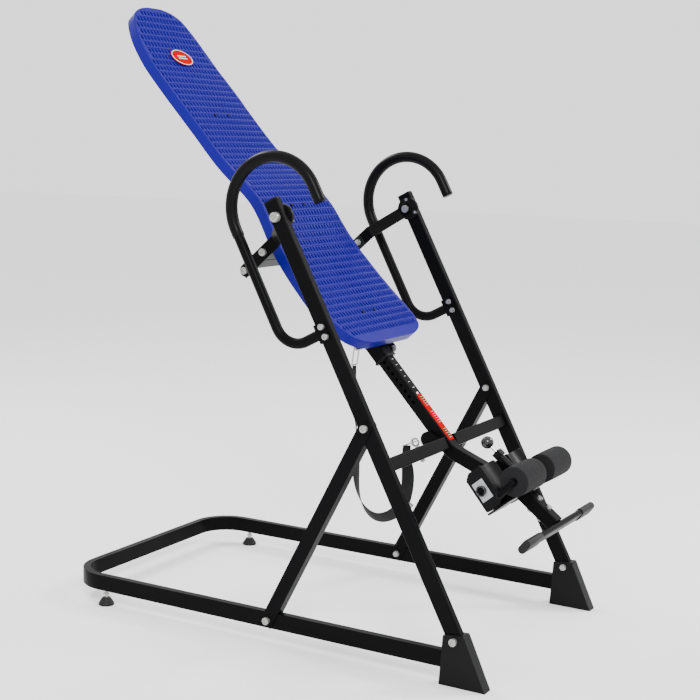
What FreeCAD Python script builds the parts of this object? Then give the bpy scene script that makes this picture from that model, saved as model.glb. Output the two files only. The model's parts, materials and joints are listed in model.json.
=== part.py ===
"""Inversion table: a bolted A-frame on a U base, and a tilting bed with an adjustable boom.

Millimetres. X runs across the table, +Y runs from the ankle end to the head end and Z is up.
The origin is on the floor, under the middle of the whole table's box. Design heights and
distances are measured from the foot bolts, and ORIGIN_Y moves them to that origin.
"""
import FreeCAD
import Part
import math
import os

ORIGIN_Y = 510.45

# A-frame
FRAME_X = 334.0            # middle plane of each side frame
UPRIGHT_DEPTH = 38.0
UPRIGHT_WIDTH = 22.0
UPRIGHT_FOOT_Y = -57.0
UPRIGHT_BOTTOM = 14.0
UPRIGHT_TOP = 1208.0       # measured along the leaning upright
LEAN = math.atan(0.53)
TUBE_WALL = 1.8
BASE_HEIGHT = 40.0
BASE_WIDTH = 20.0
BASE_MIDDLE_Z = 58.5
BASE_FRONT_Y = -3.0
BASE_REAR_Y = 1132.0
BASE_BEND = 95.0
STRUT_TOP = (241.0, 562.0)
STRUT_BOTTOM = (498.0, 58.5)
STRUT_DEPTH = 34.0
STRUT_SHEET = 2.5
FOOT_BOLT_Z = 106.0
LEVELLER_Y = 1006.0
CROSSBAR_S = 538.0         # along the upright
CROSSBAR_T = 4.0           # behind the upright's middle line
CROSSBAR_DEPTH = 32.0
CROSSBAR_THICKNESS = 28.0
EYE_BOLT_X = -148.0
BOLT_HEAD = 14.0
BOLT_SHANK = 8.0
BOLT_HOLE = 8.4
FIT = 0.2                  # gap on each side between a tube and what is folded or moulded round it
SHOE_OUTLINE = [(34, 0), (27, 118), (-24, 122), (-80, 0)]
SHOE_HALF_WIDTH = 16.0
CRADLE_X = 27.0            # outer faces of the crossbar's cradle
CRADLE_SHEET = 4.0
CRADLE_DEPTH = 40.0
CRADLE_REAR = (-245.0, -14.0)
CRADLE_FRONT = (-222.0, -24.0)
EYE_RADIUS = 9.0
EYE_WIRE = 5.0
CLIP_WIRE = 3.0

# Handles
HANDLE_DIAMETER = 25.4
GRIP_DIAMETER = 30.0
HANDLE_S = 877.5           # where the lower leg meets the upright
HANDLE_OFFSET = 123.0
HANDLE_BEND = 60.0
HOOK_RADIUS = 120.0
HOOK_START = 1192.0        # along the upright
HOOK_END_STRAIGHT = 40.0
GRIP_OVERLAP = 18.0        # length of the grip on the rear bar
HANDLE_BOLT_OFFSETS = (-12.5, 12.5)
BRACKET_HALF = 23.0
BRACKET_SHEET = 2.5
SMALL_BOLT_HEAD = 11.0
SMALL_BOLT_HEIGHT = 5.0

# Pivot
PIVOT = (490.0, 1032.0)
PIVOT_PIN = 12.0
HOUSING_DIAMETER = 60.0
HOUSING_THICKNESS = 14.0
HUB_DIAMETER = 40.0
HUB_HEIGHT = 5.0           # how far the hub stands over the disc
SCREW_CIRCLE = 25.0
SCREW_ANGLES = (80, 200, 320)
SCREW_DIAMETER = 8.0
ARM_X = 235.0
ARM_THICKNESS = 5.0
ARM_WIDTH = 32.0
ARM_DIRECTION = (0.744, -0.6685)
ARM_BOLTS = (140.0, 212.0)
CROSS_TUBE_P = 176.0       # from the pivot, along the arm
CROSS_TUBE_WIDTH = 22.0

# Levelling feet
PAD_DIAMETER = 40.0
PAD_HEIGHT = 5.0
STUD_DIAMETER = 8.0
STUD_BOTTOM_Z = 9.0
STUD_LENGTH = 60.0

# Boom and bed: s runs up along the boom, u points to the user's side of it
BOOM_ORIGIN = (372.0, 660.0)
BOOM_ANGLE = math.radians(47.2)
BOOM = 34.0
BOOM_BEND_S = -279.9       # on the boom's straight slide
LABEL_LOW_S = -256.0
LABEL_HIGH_S = -116.0
LABEL_WIDTH = 26.0
ANKLE_BEND = (-10.0, 377.0)
POST_END = (-96.0, 311.4)
BOOM_TOP_S = 270.0
SPINE = 40.0
SPINE_BOTTOM_S = 12.0
SPINE_TOP_S = 880.0
BUSHING_LENGTH = 46.0
HOLE_PITCH = 18.0
HOLE_COUNT = 15
HOLES_BELOW_PIN = 9
BOARD_THICKNESS = 4.0
BOARD_SKIRT = 28.0
BOARD_BOTTOM_S = 34.0
BOARD_TOP_S = 1165.0
BOARD_OUTLINE = [(BOARD_BOTTOM_S, 0), (37, 120), (60, 172), (115, 196), (260, 193), (420, 174),
                 (560, 157), (720, 146), (900, 148), (1010, 143), (1090, 126), (1142, 94),
                 (BOARD_TOP_S, 0)]
BOARD_HALF_WIDTH = 196.0
BOARD_FACE_U = 37.5        # the flat of the face, over the boom's middle line
LUMBAR_RISE, LUMBAR_S, LUMBAR_SPREAD = 25.0, 492.0, 105.0
SEAT_RISE, SEAT_S, SEAT_SPREAD = 20.0, 14.0, 110.0
HEAD_RISE, HEAD_S, HEAD_SPREAD = 24.0, 960.0, 200.0
SCREW_X = (-30.0, 30.0)
BRACKET_S = (130.0, 470.0, 800.0)
BADGE_S = 1000.0
BADGE_HALF_WIDTH = 42.0
BADGE_HALF_LENGTH = 28.0
HEIGHT_PIN_S = 36.0
PULL_PIN = 8.0
PULL_PIN_BORE = 8.2
PULL_PIN_HOLE = 8.6
HEIGHT_KNOB = 32.0
CLIP_X = -60.0
CLIP_TOP_S = 66.0
CLIP_U = -12.0

# Ankle unit
ROLLER_AXIS = (-42.5, 435.4)
ROLLER_DIAMETER = 72.0
ROLLER_INNER_X = 25.0
ROLLER_OUTER_X = 140.0
CUP_AXIS = (44.0, 399.0)
CUP_ANGLE = math.radians(50.3)
CUP_INNER_X = 38.0
CUP_OUTER_X = 120.0
CUP_TUBE = 22.0
CUP_TUBE_BORE = 22.2
CUP_TUBE_END_X = 129.0
CUP_PLATE = 3.0
AXLE_DIAMETER = 16.0
ROLLER_ARM = 22.0
ARM_BOTTOM = 62.0          # measured down the arm from the axle
ARM_HOLE_PITCH = 12.0
SLEEVE_BOTTOM = 58.0
SLEEVE_TOP = 22.0
FOOTREST_BOLTS = (38.0, 69.0)
FOOTREST_THICKNESS = 15.0
FOOTREST_HALF_FLAT = 9.0
FOOTREST_END_X = 200.0
FOOTREST_BELOW = 8.0       # from the end of the post to the footrest's middle
FOOTREST_GRIP = 19.0
FOOTREST_GRIP_X = (-208.0, -128.0)
AXLE_END_DIRECTION = (0.66, -0.75)
AXLE_END_LENGTH = 46.0
AXLE_COLLAR = 26.0
BALL_DIAMETER = 31.4
BALL_DISTANCE = 136.0      # from PIN_POINT along the pin
PIN_ANGLE = math.radians(38.7)
PIN_POINT = (-16.4, 402.7)
ARM_AXIS = (-math.sin(PIN_ANGLE), math.cos(PIN_ANGLE))
PIN_AXIS = (math.cos(PIN_ANGLE), math.sin(PIN_ANGLE))
PIN_TIP_GAP = 0.4          # the pull pins stand this far clear of what they lock

# Tether strap, from the clip on the bed to the eye bolt on the crossbar
STRAP_DIAMETER = 12.0
STRAP_END_GAP = 2.5        # from each end of the strap to the middle of its wire
STRAP_WIDTH = 30.0         # of the flat webbing that the round solid stands for
BUCKLE_POINT = 10
BUCKLE_SIDE = 4.0          # width of each side bar, and of each end bar
BUCKLE_LENGTH = 30.0
BUCKLE_THICKNESS = 6.0
BUCKLE_TURN = -60.0        # about the strap's run, as far as the webbing has turned there
STRAP_ROUTE = [(-60, 434, 652), (-62, 431, 602), (-66, 424, 548), (-70, 419, 492), (-75, 413, 436),
               (-81, 411, 382), (-90, 399, 334), (-103, 371, 299), (-117, 328, 286), (-130, 281, 303),
               (-140, 244, 338), (-145, 231, 381), (-147, 229, 424), (-148, 237, 460), (-148, 234, 489)]

PARTS = {}


def point(x, y, z):
    return FreeCAD.Vector(x, y - ORIGIN_Y, z)


def save(name, *solids):
    shape = solids[0] if len(solids) == 1 else Part.makeCompound(list(solids))
    PARTS[name] = shape


def mirrored(shape):
    return shape.mirror(FreeCAD.Vector(0, 0, 0), FreeCAD.Vector(1, 0, 0))


def both_sides(left):
    return left, mirrored(left)


def save_pair(name, left):
    save(name + "_left", left)
    save(name + "_right", mirrored(left))


def polygon(points_yz, x0, x1):
    """Solid between x0 and x1 with the given (y, z) outline."""
    corners = [point(x0, y, z) for y, z in points_yz]
    face = Part.Face(Part.makePolygon(corners + [corners[0]]))
    return face.extrude(FreeCAD.Vector(x1 - x0, 0, 0))


def rod(centre_yz, diameter, x0, x1):
    """Cylinder along X."""
    y, z = centre_yz
    return Part.makeCylinder(diameter / 2, x1 - x0, point(x0, y, z), FreeCAD.Vector(1, 0, 0))


def hexagon(centre_yz, across, x0, x1):
    y, z = centre_yz
    radius = across / math.sqrt(3)
    corners = [(y + radius * math.cos(math.radians(60 * k)), z + radius * math.sin(math.radians(60 * k)))
               for k in range(6)]
    return polygon(corners, x0, x1)


def upright_point(s, t=0.0):
    """(y, z) at s along the upright and t behind its middle line."""
    return (UPRIGHT_FOOT_Y + s * math.sin(LEAN) + t * math.cos(LEAN),
            s * math.cos(LEAN) - t * math.sin(LEAN))


def along(start, direction, distance, side=0.0):
    """(y, z) at a distance along a direction and to its left."""
    return (start[0] + direction[0] * distance - direction[1] * side,
            start[1] + direction[1] * distance + direction[0] * side)


def unit(start, end):
    dy, dz = end[0] - start[0], end[1] - start[1]
    length = math.hypot(dy, dz)
    return (dy / length, dz / length)


def boom_point(s, u=0.0):
    return along(BOOM_ORIGIN, (math.cos(BOOM_ANGLE), math.sin(BOOM_ANGLE)), s, u)


def bar(start, end, depth, x0, x1, corner=0.0):
    """Straight bar between two (y, z) points, its long edges rounded by corner."""
    direction = unit(start, end)
    half = depth / 2
    outline = [along(start, direction, 0, -half), along(end, direction, 0, -half),
               along(end, direction, 0, half), along(start, direction, 0, half)]
    solid = polygon(outline, x0, x1)
    if corner:
        axis = FreeCAD.Vector(0, direction[0], direction[1])
        edges = [e for e in solid.Edges if abs(e.tangentAt(e.FirstParameter).dot(axis)) > 0.999]
        solid = solid.makeFillet(corner, edges)
    return solid


def box_tube(start, end, depth, x0, x1, corner=4.0, wall=TUBE_WALL):
    """Rectangular tube with open ends between two (y, z) points."""
    direction = unit(start, end)
    outer = bar(start, end, depth, x0, x1, corner)
    inner = bar(along(start, direction, -1), along(end, direction, 1), depth - 2 * wall,
                x0 + wall, x1 - wall, max(corner - wall, 0.5))
    return outer.cut(inner)


def bent_path(corners, radii):
    """Straight runs and tangent arcs through (y, z) corners, as a list of edge data."""
    runs = []
    last = corners[0]
    for k in range(1, len(corners) - 1):
        before, here, after = corners[k - 1], corners[k], corners[k + 1]
        d_in, d_out = unit(before, here), unit(here, after)
        turn = math.atan2(d_in[0] * d_out[1] - d_in[1] * d_out[0], d_in[0] * d_out[0] + d_in[1] * d_out[1])
        reach = radii[k - 1] * abs(math.tan(turn / 2))
        arc_start, arc_end = along(here, d_in, -reach), along(here, d_out, reach)
        side = math.copysign(radii[k - 1], turn)
        centre = along(arc_start, d_in, 0, side)
        middle_direction = unit(centre, here)
        middle = along(centre, middle_direction, radii[k - 1])
        runs.append(("line", last, arc_start))
        runs.append(("arc", arc_start, middle, arc_end))
        last = arc_end
    runs.append(("line", last, corners[-1]))
    return runs


def path_wire(runs, x):
    edges = []
    for run in runs:
        points = [point(x, y, z) for y, z in run[1:]]
        if run[0] == "line":
            edges.append(Part.LineSegment(*points).toShape())
        else:
            edges.append(Part.Arc(*points).toShape())
    return Part.Wire(edges)


def round_tube(runs, x, diameter, wall=0.0):
    """Round bar, or tube where a wall is given, swept along runs in the plane at x."""
    wire = path_wire(runs, x)
    start, end = runs[0][1], runs[0][2]
    direction = unit(start, end)
    axis = FreeCAD.Vector(0, direction[0], direction[1])
    origin = point(x, *start)

    def swept(radius):
        circle = Part.Wire(Part.makeCircle(radius, origin, axis))
        return wire.makePipeShell([circle], True, False)

    solid = swept(diameter / 2)
    return solid.cut(swept(diameter / 2 - wall)) if wall else solid


def strip(corners, radii, half):
    """Closed outline at a constant distance each side of a bent line, in (y, z)."""
    runs = bent_path(corners, radii)
    sides = []
    for side in (half, -half):
        edges = []
        for run in runs:
            if run[0] == "line":
                direction = unit(run[1], run[2])
                edges.append(("line", along(run[1], direction, 0, side), along(run[2], direction, 0, side)))
            else:
                start, middle, end = run[1:]
                a, b, c = (FreeCAD.Vector(0, *p) for p in (start, middle, end))
                arc_centre = Part.Arc(a, b, c).toShape().Curve.Center
                centre = (arc_centre.y, arc_centre.z)
                radius = math.dist(centre, start)
                cross = ((start[0] - centre[0]) * (end[1] - centre[1])
                         - (start[1] - centre[1]) * (end[0] - centre[0]))
                new_radius = radius - side * math.copysign(1, cross)
                edges.append(("arc", *(along(centre, unit(centre, p), new_radius)
                                       for p in (start, middle, end))))
        sides.append(edges)
    left, right = sides
    closing = [("line", left[-1][-1], right[-1][-1])]
    back = [("line", r[2], r[1]) if r[0] == "line" else ("arc", r[3], r[2], r[1]) for r in reversed(right)]
    return left + closing + back + [("line", right[0][1], left[0][1])]


def bolt_heads(centre_yz, x_outer, x_inner, across=BOLT_HEAD, height=6.0, shank=BOLT_SHANK):
    """Left-hand bolt along X: hexagon head outside, nut inside, washers and shank."""
    washer = 1.5
    shaft = rod(centre_yz, shank, x_outer - washer, x_inner + washer)
    outer = rod(centre_yz, across + 3, x_outer - washer, x_outer)
    inner = rod(centre_yz, across + 3, x_inner, x_inner + washer)
    head = hexagon(centre_yz, across, x_outer - washer - height, x_outer - washer)
    nut = hexagon(centre_yz, across, x_inner + washer, x_inner + washer + height)
    return outer.fuse([inner, head, nut, shaft]).removeSplitter()


def tilted_cylinder(x, start_yz, end_yz, diameter):
    direction = unit(start_yz, end_yz)
    return Part.makeCylinder(diameter / 2, math.dist(start_yz, end_yz), point(x, *start_yz),
                             FreeCAD.Vector(0, direction[0], direction[1]))


# ---------------------------------------------------------------- A-frame

def base_frame():
    """One tube bent into a U: two sides and the rear run, with closed front ends."""
    half_height = BASE_HEIGHT / 2

    def u_shape(width, height, extra):
        inset = width / 2
        outline = []
        for offset in (inset, -inset):
            x = FRAME_X + offset
            rear = BASE_REAR_Y - BASE_WIDTH / 2 + offset
            radius = BASE_BEND + offset
            k = radius * (1 - math.sqrt(0.5))
            z = BASE_MIDDLE_Z - height / 2
            front = BASE_FRONT_Y - extra
            pts = [point(-x, front, z), point(-x, rear - radius, z), point(-x + k, rear - k, z),
                   point(-x + radius, rear, z), point(x - radius, rear, z), point(x - k, rear - k, z),
                   point(x, rear - radius, z), point(x, front, z)]
            outline.append([Part.LineSegment(pts[0], pts[1]), Part.Arc(*pts[1:4]),
                            Part.LineSegment(pts[3], pts[4]), Part.Arc(*pts[4:7]),
                            Part.LineSegment(pts[6], pts[7]), pts])
        outer, inner = outline
        ends = [Part.LineSegment(outer[-1][7], inner[-1][7]), Part.LineSegment(inner[-1][0], outer[-1][0])]
        edges = [g.toShape() for g in outer[:5]] + [ends[0].toShape()]
        edges += [g.toShape() for g in reversed(inner[:5])] + [ends[1].toShape()]
        wire = Part.Wire(Part.sortEdges(edges)[0])
        return Part.Face(wire).extrude(FreeCAD.Vector(0, 0, height))

    outer = u_shape(BASE_WIDTH, 2 * half_height, 0)
    inner = u_shape(BASE_WIDTH - 2 * TUBE_WALL, 2 * half_height - 2 * TUBE_WALL, 1)
    tube = outer.cut(inner)
    for side in (-1, 1):
        x = side * FRAME_X
        hole = Part.makeCylinder(4.05, 20, point(x, LEVELLER_Y, BASE_MIDDLE_Z - 30))
        tube = tube.cut(hole)
        tube = tube.cut(rod(STRUT_BOTTOM, BOLT_HOLE, x - 20, x + 20))
        tube = tube.cut(bar(upright_point(0), upright_point(200), UPRIGHT_DEPTH + 2 * FIT, x - 20, x + 20))
        tube = tube.cut(polygon([(-100, 30), (-40, 30), (0, 90), (-100, 90)], x - 20, x + 20))
    return tube


def upright():
    x0, x1 = -FRAME_X - UPRIGHT_WIDTH / 2, -FRAME_X + UPRIGHT_WIDTH / 2
    tube = box_tube(upright_point(UPRIGHT_BOTTOM), upright_point(UPRIGHT_TOP), UPRIGHT_DEPTH, x0, x1)
    holes = [rod(STRUT_TOP, BOLT_HOLE, x0 - 5, x1 + 5), rod(PIVOT, PIVOT_PIN + 0.6, x0 - 5, x1 + 5),
             rod(foot_bolt_centre(), BOLT_HOLE, x0 - 5, x1 + 5)]
    holes += [rod(upright_point(HANDLE_S + d), BOLT_HOLE, x0 - 5, x1 + 5) for d in (-12.5, 12.5)]
    return tube.cut(holes)


def foot_bolt_centre():
    return upright_point(FOOT_BOLT_Z / math.cos(LEAN))


def upright_cap():
    """Plastic plug that closes the top of the left upright."""
    gap = 0.1
    wall = TUBE_WALL + gap
    x0, x1 = -FRAME_X - UPRIGHT_WIDTH / 2, -FRAME_X + UPRIGHT_WIDTH / 2
    head = bar(upright_point(UPRIGHT_TOP), upright_point(UPRIGHT_TOP + 4), UPRIGHT_DEPTH, x0, x1, 4.0)
    plug = bar(upright_point(UPRIGHT_TOP - 16), upright_point(UPRIGHT_TOP), UPRIGHT_DEPTH - 2 * wall,
               x0 + wall, x1 - wall, 2.0)
    return head.fuse(plug)


def foot_shoe():
    """Moulded foot that boxes in the bottom of the upright and the front end of the base tube."""
    x0, x1 = -FRAME_X - SHOE_HALF_WIDTH, -FRAME_X + SHOE_HALF_WIDTH
    body = polygon(SHOE_OUTLINE, x0, x1)
    upright_edges = [e for e in body.Edges if abs(e.tangentAt(e.FirstParameter).x) > 0.999]
    body = body.makeFillet(5.0, [e for e in upright_edges if e.CenterOfMass.z > 60])
    socket = bar(upright_point(UPRIGHT_BOTTOM - FIT), upright_point(200), UPRIGHT_DEPTH + 2 * FIT,
                 -FRAME_X - UPRIGHT_WIDTH / 2 - FIT, -FRAME_X + UPRIGHT_WIDTH / 2 + FIT, 4.0)
    low, high = BASE_MIDDLE_Z - BASE_HEIGHT / 2 - FIT, BASE_MIDDLE_Z + BASE_HEIGHT / 2 + FIT
    tube_slot = polygon([(BASE_FRONT_Y - 20, low), (90, low), (90, high), (BASE_FRONT_Y - 20, high)],
                        -FRAME_X - BASE_WIDTH / 2 - FIT, -FRAME_X + BASE_WIDTH / 2 + FIT)
    return body.cut([socket, tube_slot, rod(foot_bolt_centre(), BOLT_HOLE, x0 - 5, x1 + 5)])


def strut():
    """Folded channel that straddles the upright above and the base tube below."""
    gap = UPRIGHT_WIDTH / 2 + FIT
    outer = gap + STRUT_SHEET
    direction = unit(STRUT_TOP, STRUT_BOTTOM)
    lower_end = along(STRUT_BOTTOM, direction, 14)
    body = bar(STRUT_TOP, lower_end, STRUT_DEPTH, -FRAME_X - outer, -FRAME_X + outer)
    body = body.fuse(rod(STRUT_TOP, STRUT_DEPTH, -FRAME_X - outer, -FRAME_X + outer))
    channel = bar(along(STRUT_TOP, direction, -40), along(lower_end, direction, 5), STRUT_DEPTH,
                  -FRAME_X - gap, -FRAME_X + gap)
    shift = along((0, 0), direction, 0, STRUT_SHEET)
    channel.translate(FreeCAD.Vector(0, shift[0], shift[1]))
    body = body.cut(channel)
    clearances = [bar(upright_point(300), upright_point(900), UPRIGHT_DEPTH + 1.0,
                      -FRAME_X - gap, -FRAME_X + gap),
                  polygon([(300, BASE_MIDDLE_Z - 21), (700, BASE_MIDDLE_Z - 21), (700, BASE_MIDDLE_Z + 21),
                           (300, BASE_MIDDLE_Z + 21)], -FRAME_X - gap, -FRAME_X + gap),
                  rod(STRUT_TOP, BOLT_HOLE, -FRAME_X - 20, -FRAME_X + 20),
                  rod(STRUT_BOTTOM, BOLT_HOLE, -FRAME_X - 20, -FRAME_X + 20)]
    return body.cut(clearances)


def crossbar_tube(low, high, x0, x1):
    """Tube along X, its section rounded at the four long edges."""
    outer = bar(low, high, CROSSBAR_THICKNESS, x0, x1)
    outer = outer.makeFillet(3.0, [e for e in outer.Edges if abs(e.tangentAt(e.FirstParameter).x) > 0.999])
    direction = unit(low, high)
    inner = bar(along(low, direction, TUBE_WALL), along(high, direction, -TUBE_WALL),
                CROSSBAR_THICKNESS - 2 * TUBE_WALL, x0, x1)
    return outer.cut(inner)


def crossbar():
    """Square-edged tube between the uprights, broken in the middle by the boom's cradle."""
    inner_face = FRAME_X - UPRIGHT_WIDTH / 2
    low = upright_point(CROSSBAR_S - CROSSBAR_DEPTH / 2, CROSSBAR_T)
    high = upright_point(CROSSBAR_S + CROSSBAR_DEPTH / 2, CROSSBAR_T)
    centre = boom_point(*CRADLE_REAR)
    end = boom_point(*CRADLE_FRONT)
    halves = []
    for side in (-1, 1):
        a, b = side * inner_face, side * CRADLE_X
        halves.append(crossbar_tube(low, high, min(a, b), max(a, b)))
        a, b = side * CRADLE_X, side * (CRADLE_X - CRADLE_SHEET)
        plate = bar(centre, end, CRADLE_DEPTH, min(a, b), max(a, b))
        rounds = [rod(place, CRADLE_DEPTH, min(a, b), max(a, b)) for place in (centre, end)]
        halves.append(plate.fuse(rounds[0]).fuse(rounds[1]))
    floor_u = -BOOM / 2 - 12
    floor = bar(boom_point(-252, floor_u), boom_point(-206, floor_u), CRADLE_SHEET, -CRADLE_X, CRADLE_X)
    hole = tilted_cylinder(EYE_BOLT_X, upright_point(CROSSBAR_S - 40, CROSSBAR_T),
                           upright_point(CROSSBAR_S + 40, CROSSBAR_T), 6.2)
    return halves[0].fuse(halves[1:] + [floor]).cut(hole)


def crossbar_bumper():
    """Rubber pad on the cradle's floor, under the boom."""
    return bar(boom_point(-250, -BOOM / 2 - 5.2), boom_point(-208, -BOOM / 2 - 5.2), 9.6, -22.0, 22.0, 2.0)


def eye_bolt():
    """Eye bolt through the crossbar, nut below, and the wire loop that the strap is sewn to."""
    lower, upper = CROSSBAR_S - CROSSBAR_DEPTH / 2, CROSSBAR_S + CROSSBAR_DEPTH / 2
    ring_centre = upright_point(upper + 13, CROSSBAR_T)
    ring = Part.makeTorus(EYE_RADIUS, EYE_WIRE / 2, point(EYE_BOLT_X, *ring_centre), FreeCAD.Vector(1, 0, 0))

    def turned(s0, s1, diameter):
        return tilted_cylinder(EYE_BOLT_X, upright_point(s0, CROSSBAR_T),
                               upright_point(s1, CROSSBAR_T), diameter)

    shank = turned(lower - 6, upper + 4, 6.0)
    washer = turned(upper, upper + 1.5, 14.0)
    nut = turned(lower - 5, lower, 11.0)
    bolt = ring.fuse([shank, washer, nut])
    strap_end = along(STRAP_ROUTE[-1][1:], (0, 1), STRAP_END_GAP)
    return bolt, wire_loop(EYE_BOLT_X, along(ring_centre, (1, 0), 3.0), strap_end, 24.0, CLIP_WIRE)


def wire_loop(x, start_yz, end_yz, width, wire):
    """Closed rectangle of round wire between two bars that lie along X."""
    half = width / 2
    pieces = [rod(centre, wire, x - half, x + half) for centre in (start_yz, end_yz)]
    for side in (-half, half):
        pieces.append(tilted_cylinder(x + side, start_yz, end_yz, wire))
        pieces += [Part.makeSphere(wire / 2, point(x + side, *centre)) for centre in (start_yz, end_yz)]
    return pieces[0].fuse(pieces[1:])


def handle_runs():
    """Lower leg, bend, rear bar, half-circle hook and its straight end, as runs in (y, z)."""
    leg_start = upright_point(HANDLE_S, UPRIGHT_DEPTH / 2 + 3.0)
    corner = upright_point(HANDLE_S, HANDLE_OFFSET)
    hook_start = upright_point(HOOK_START, HANDLE_OFFSET)
    runs = bent_path([leg_start, corner, hook_start], [HANDLE_BEND])
    hook_top = upright_point(HOOK_START + HOOK_RADIUS, HANDLE_OFFSET - HOOK_RADIUS)
    hook_end = upright_point(HOOK_START, HANDLE_OFFSET - 2 * HOOK_RADIUS)
    straight_end = upright_point(HOOK_START - HOOK_END_STRAIGHT, HANDLE_OFFSET - 2 * HOOK_RADIUS)
    return runs + [("arc", hook_start, hook_top, hook_end), ("line", hook_end, straight_end)]


def handle_grip():
    """Soft sleeve over the hook, from its rear side to just short of the tube's end."""
    start = upright_point(HOOK_START - GRIP_OVERLAP, HANDLE_OFFSET)
    runs = handle_runs()[-2:]
    end = upright_point(HOOK_START - HOOK_END_STRAIGHT + 3, HANDLE_OFFSET - 2 * HOOK_RADIUS)
    runs = [("line", start, runs[0][1]), runs[0], ("line", runs[1][1], end)]
    outer = round_tube(runs, -FRAME_X, GRIP_DIAMETER)
    inner = round_tube(runs, -FRAME_X, HANDLE_DIAMETER + 0.1)
    return outer.cut(inner)


def handle_bracket():
    """Welded fork that straddles the upright and carries the handle's lower leg."""
    gap = UPRIGHT_WIDTH / 2 + FIT
    outer = gap + BRACKET_SHEET
    low, high = HANDLE_S - BRACKET_HALF, HANDLE_S + BRACKET_HALF
    rear = UPRIGHT_DEPTH / 2 + 3.0
    outline = [upright_point(low, -9), upright_point(high, -9),
               upright_point(high, rear), upright_point(low, rear)]
    body = polygon(outline, -FRAME_X - outer, -FRAME_X + outer)
    slot = bar(upright_point(low - 5), upright_point(high + 5), UPRIGHT_DEPTH + 2 * FIT,
               -FRAME_X - gap, -FRAME_X + gap)
    bolts = [rod(upright_point(HANDLE_S + d), BOLT_HOLE, -FRAME_X - 20, -FRAME_X + 20)
             for d in HANDLE_BOLT_OFFSETS]
    return body.cut([slot] + bolts)


def bearing_housing():
    """Round plastic-lined housing on the inner face of the left upright."""
    inner_face = -FRAME_X + UPRIGHT_WIDTH / 2
    disc = rod(PIVOT, HOUSING_DIAMETER, inner_face, inner_face + HOUSING_THICKNESS - HUB_HEIGHT)
    hub = rod(PIVOT, HUB_DIAMETER, inner_face, inner_face + HOUSING_THICKNESS)
    return disc.fuse(hub).cut(rod(PIVOT, PIVOT_PIN + 0.1, inner_face - 1, inner_face + HOUSING_THICKNESS + 1))


def housing_screws():
    inner_face = -FRAME_X + UPRIGHT_WIDTH / 2
    flange = inner_face + HOUSING_THICKNESS - HUB_HEIGHT
    screws = []
    for degrees in SCREW_ANGLES:
        turn = math.radians(degrees)
        centre = along(PIVOT, (math.cos(turn), math.sin(turn)), SCREW_CIRCLE)
        screws.append(rod(centre, SCREW_DIAMETER, flange, flange + 3))
    return screws


# ---------------------------------------------------------------- levelling feet

def leveller_foot():
    x, y = -FRAME_X, LEVELLER_Y
    cone = Part.makeCone(PAD_DIAMETER / 2, 11.0, 14.0, point(x, y, PAD_HEIGHT))
    base = Part.makeCylinder(PAD_DIAMETER / 2, PAD_HEIGHT, point(x, y, 0))
    stud = Part.makeCylinder(STUD_DIAMETER / 2, 12.0, point(x, y, STUD_BOTTOM_Z))
    return base.fuse(cone).cut(stud)


def leveller_stud():
    x, y = -FRAME_X, LEVELLER_Y
    stud = Part.makeCylinder(STUD_DIAMETER / 2, STUD_LENGTH, point(x, y, STUD_BOTTOM_Z))
    nut = hexagon_z(x, y, 13.0, 26.0, 31.0)
    return stud.fuse(nut)


def hexagon_z(x, y, across, z0, z1):
    radius = across / math.sqrt(3)
    turns = [math.radians(60 * k) for k in range(6)]
    corners = [point(x + radius * math.cos(turn), y + radius * math.sin(turn), z0) for turn in turns]
    return Part.Face(Part.makePolygon(corners + [corners[0]])).extrude(FreeCAD.Vector(0, 0, z1 - z0))


# ---------------------------------------------------------------- bed

def arm_point(p, side=0.0):
    return along(PIVOT, ARM_DIRECTION, p, side)


def pivot_arm():
    """Flat bar bent inwards twice between the pivot and the bed's cross tube."""
    outer_x = FRAME_X - UPRIGHT_WIDTH / 2 - HOUSING_THICKNESS - 2 - ARM_THICKNESS / 2
    corners = [(-20, -outer_x), (22, -outer_x), (96, -ARM_X), (232, -ARM_X)]
    outline = strip(corners, [12, 12], ARM_THICKNESS / 2)

    def place(p, x):
        y, z = arm_point(p, -ARM_WIDTH / 2)
        return point(x, y, z)

    edges = []
    for run in outline:
        points = [place(p, x) for p, x in run[1:]]
        curve = Part.LineSegment(*points) if run[0] == "line" else Part.Arc(*points)
        edges.append(curve.toShape())
    width = FreeCAD.Vector(0, -ARM_DIRECTION[1], ARM_DIRECTION[0]) * ARM_WIDTH
    body = Part.Face(Part.Wire(edges)).extrude(width)
    ends = [bar(PIVOT, arm_point(ARM_BOLTS[1]), ARM_WIDTH, -400, -200), rod(PIVOT, ARM_WIDTH, -400, -200),
            rod(arm_point(ARM_BOLTS[1]), ARM_WIDTH, -400, -200)]
    rounded = ends[0].fuse(ends[1:])
    holes = [rod(arm_point(p), BOLT_HOLE, -400, -200) for p in ARM_BOLTS]
    holes.append(rod(PIVOT, PIVOT_PIN, -400, -200))
    return body.common(rounded).cut(holes)


def pivot_pin():
    """Shouldered bolt through the upright and its housing into the arm, with a domed nut outside."""
    outer = -FRAME_X - UPRIGHT_WIDTH / 2
    arm_inner = -(FRAME_X - UPRIGHT_WIDTH / 2 - HOUSING_THICKNESS - 2 - ARM_THICKNESS)
    shaft = rod(PIVOT, PIVOT_PIN, outer - 3, arm_inner + 1)
    washer = rod(PIVOT, 24.0, outer - 3, outer - 0.6)
    head = hexagon(PIVOT, 19.0, outer - 10.5, outer - 3)
    flange = rod(PIVOT, 20.0, arm_inner, arm_inner + 5)
    spacer = rod(PIVOT, 18.0, arm_inner - ARM_THICKNESS - 1.6, arm_inner - ARM_THICKNESS)
    return shaft.fuse([washer, head, flange, spacer])


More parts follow.
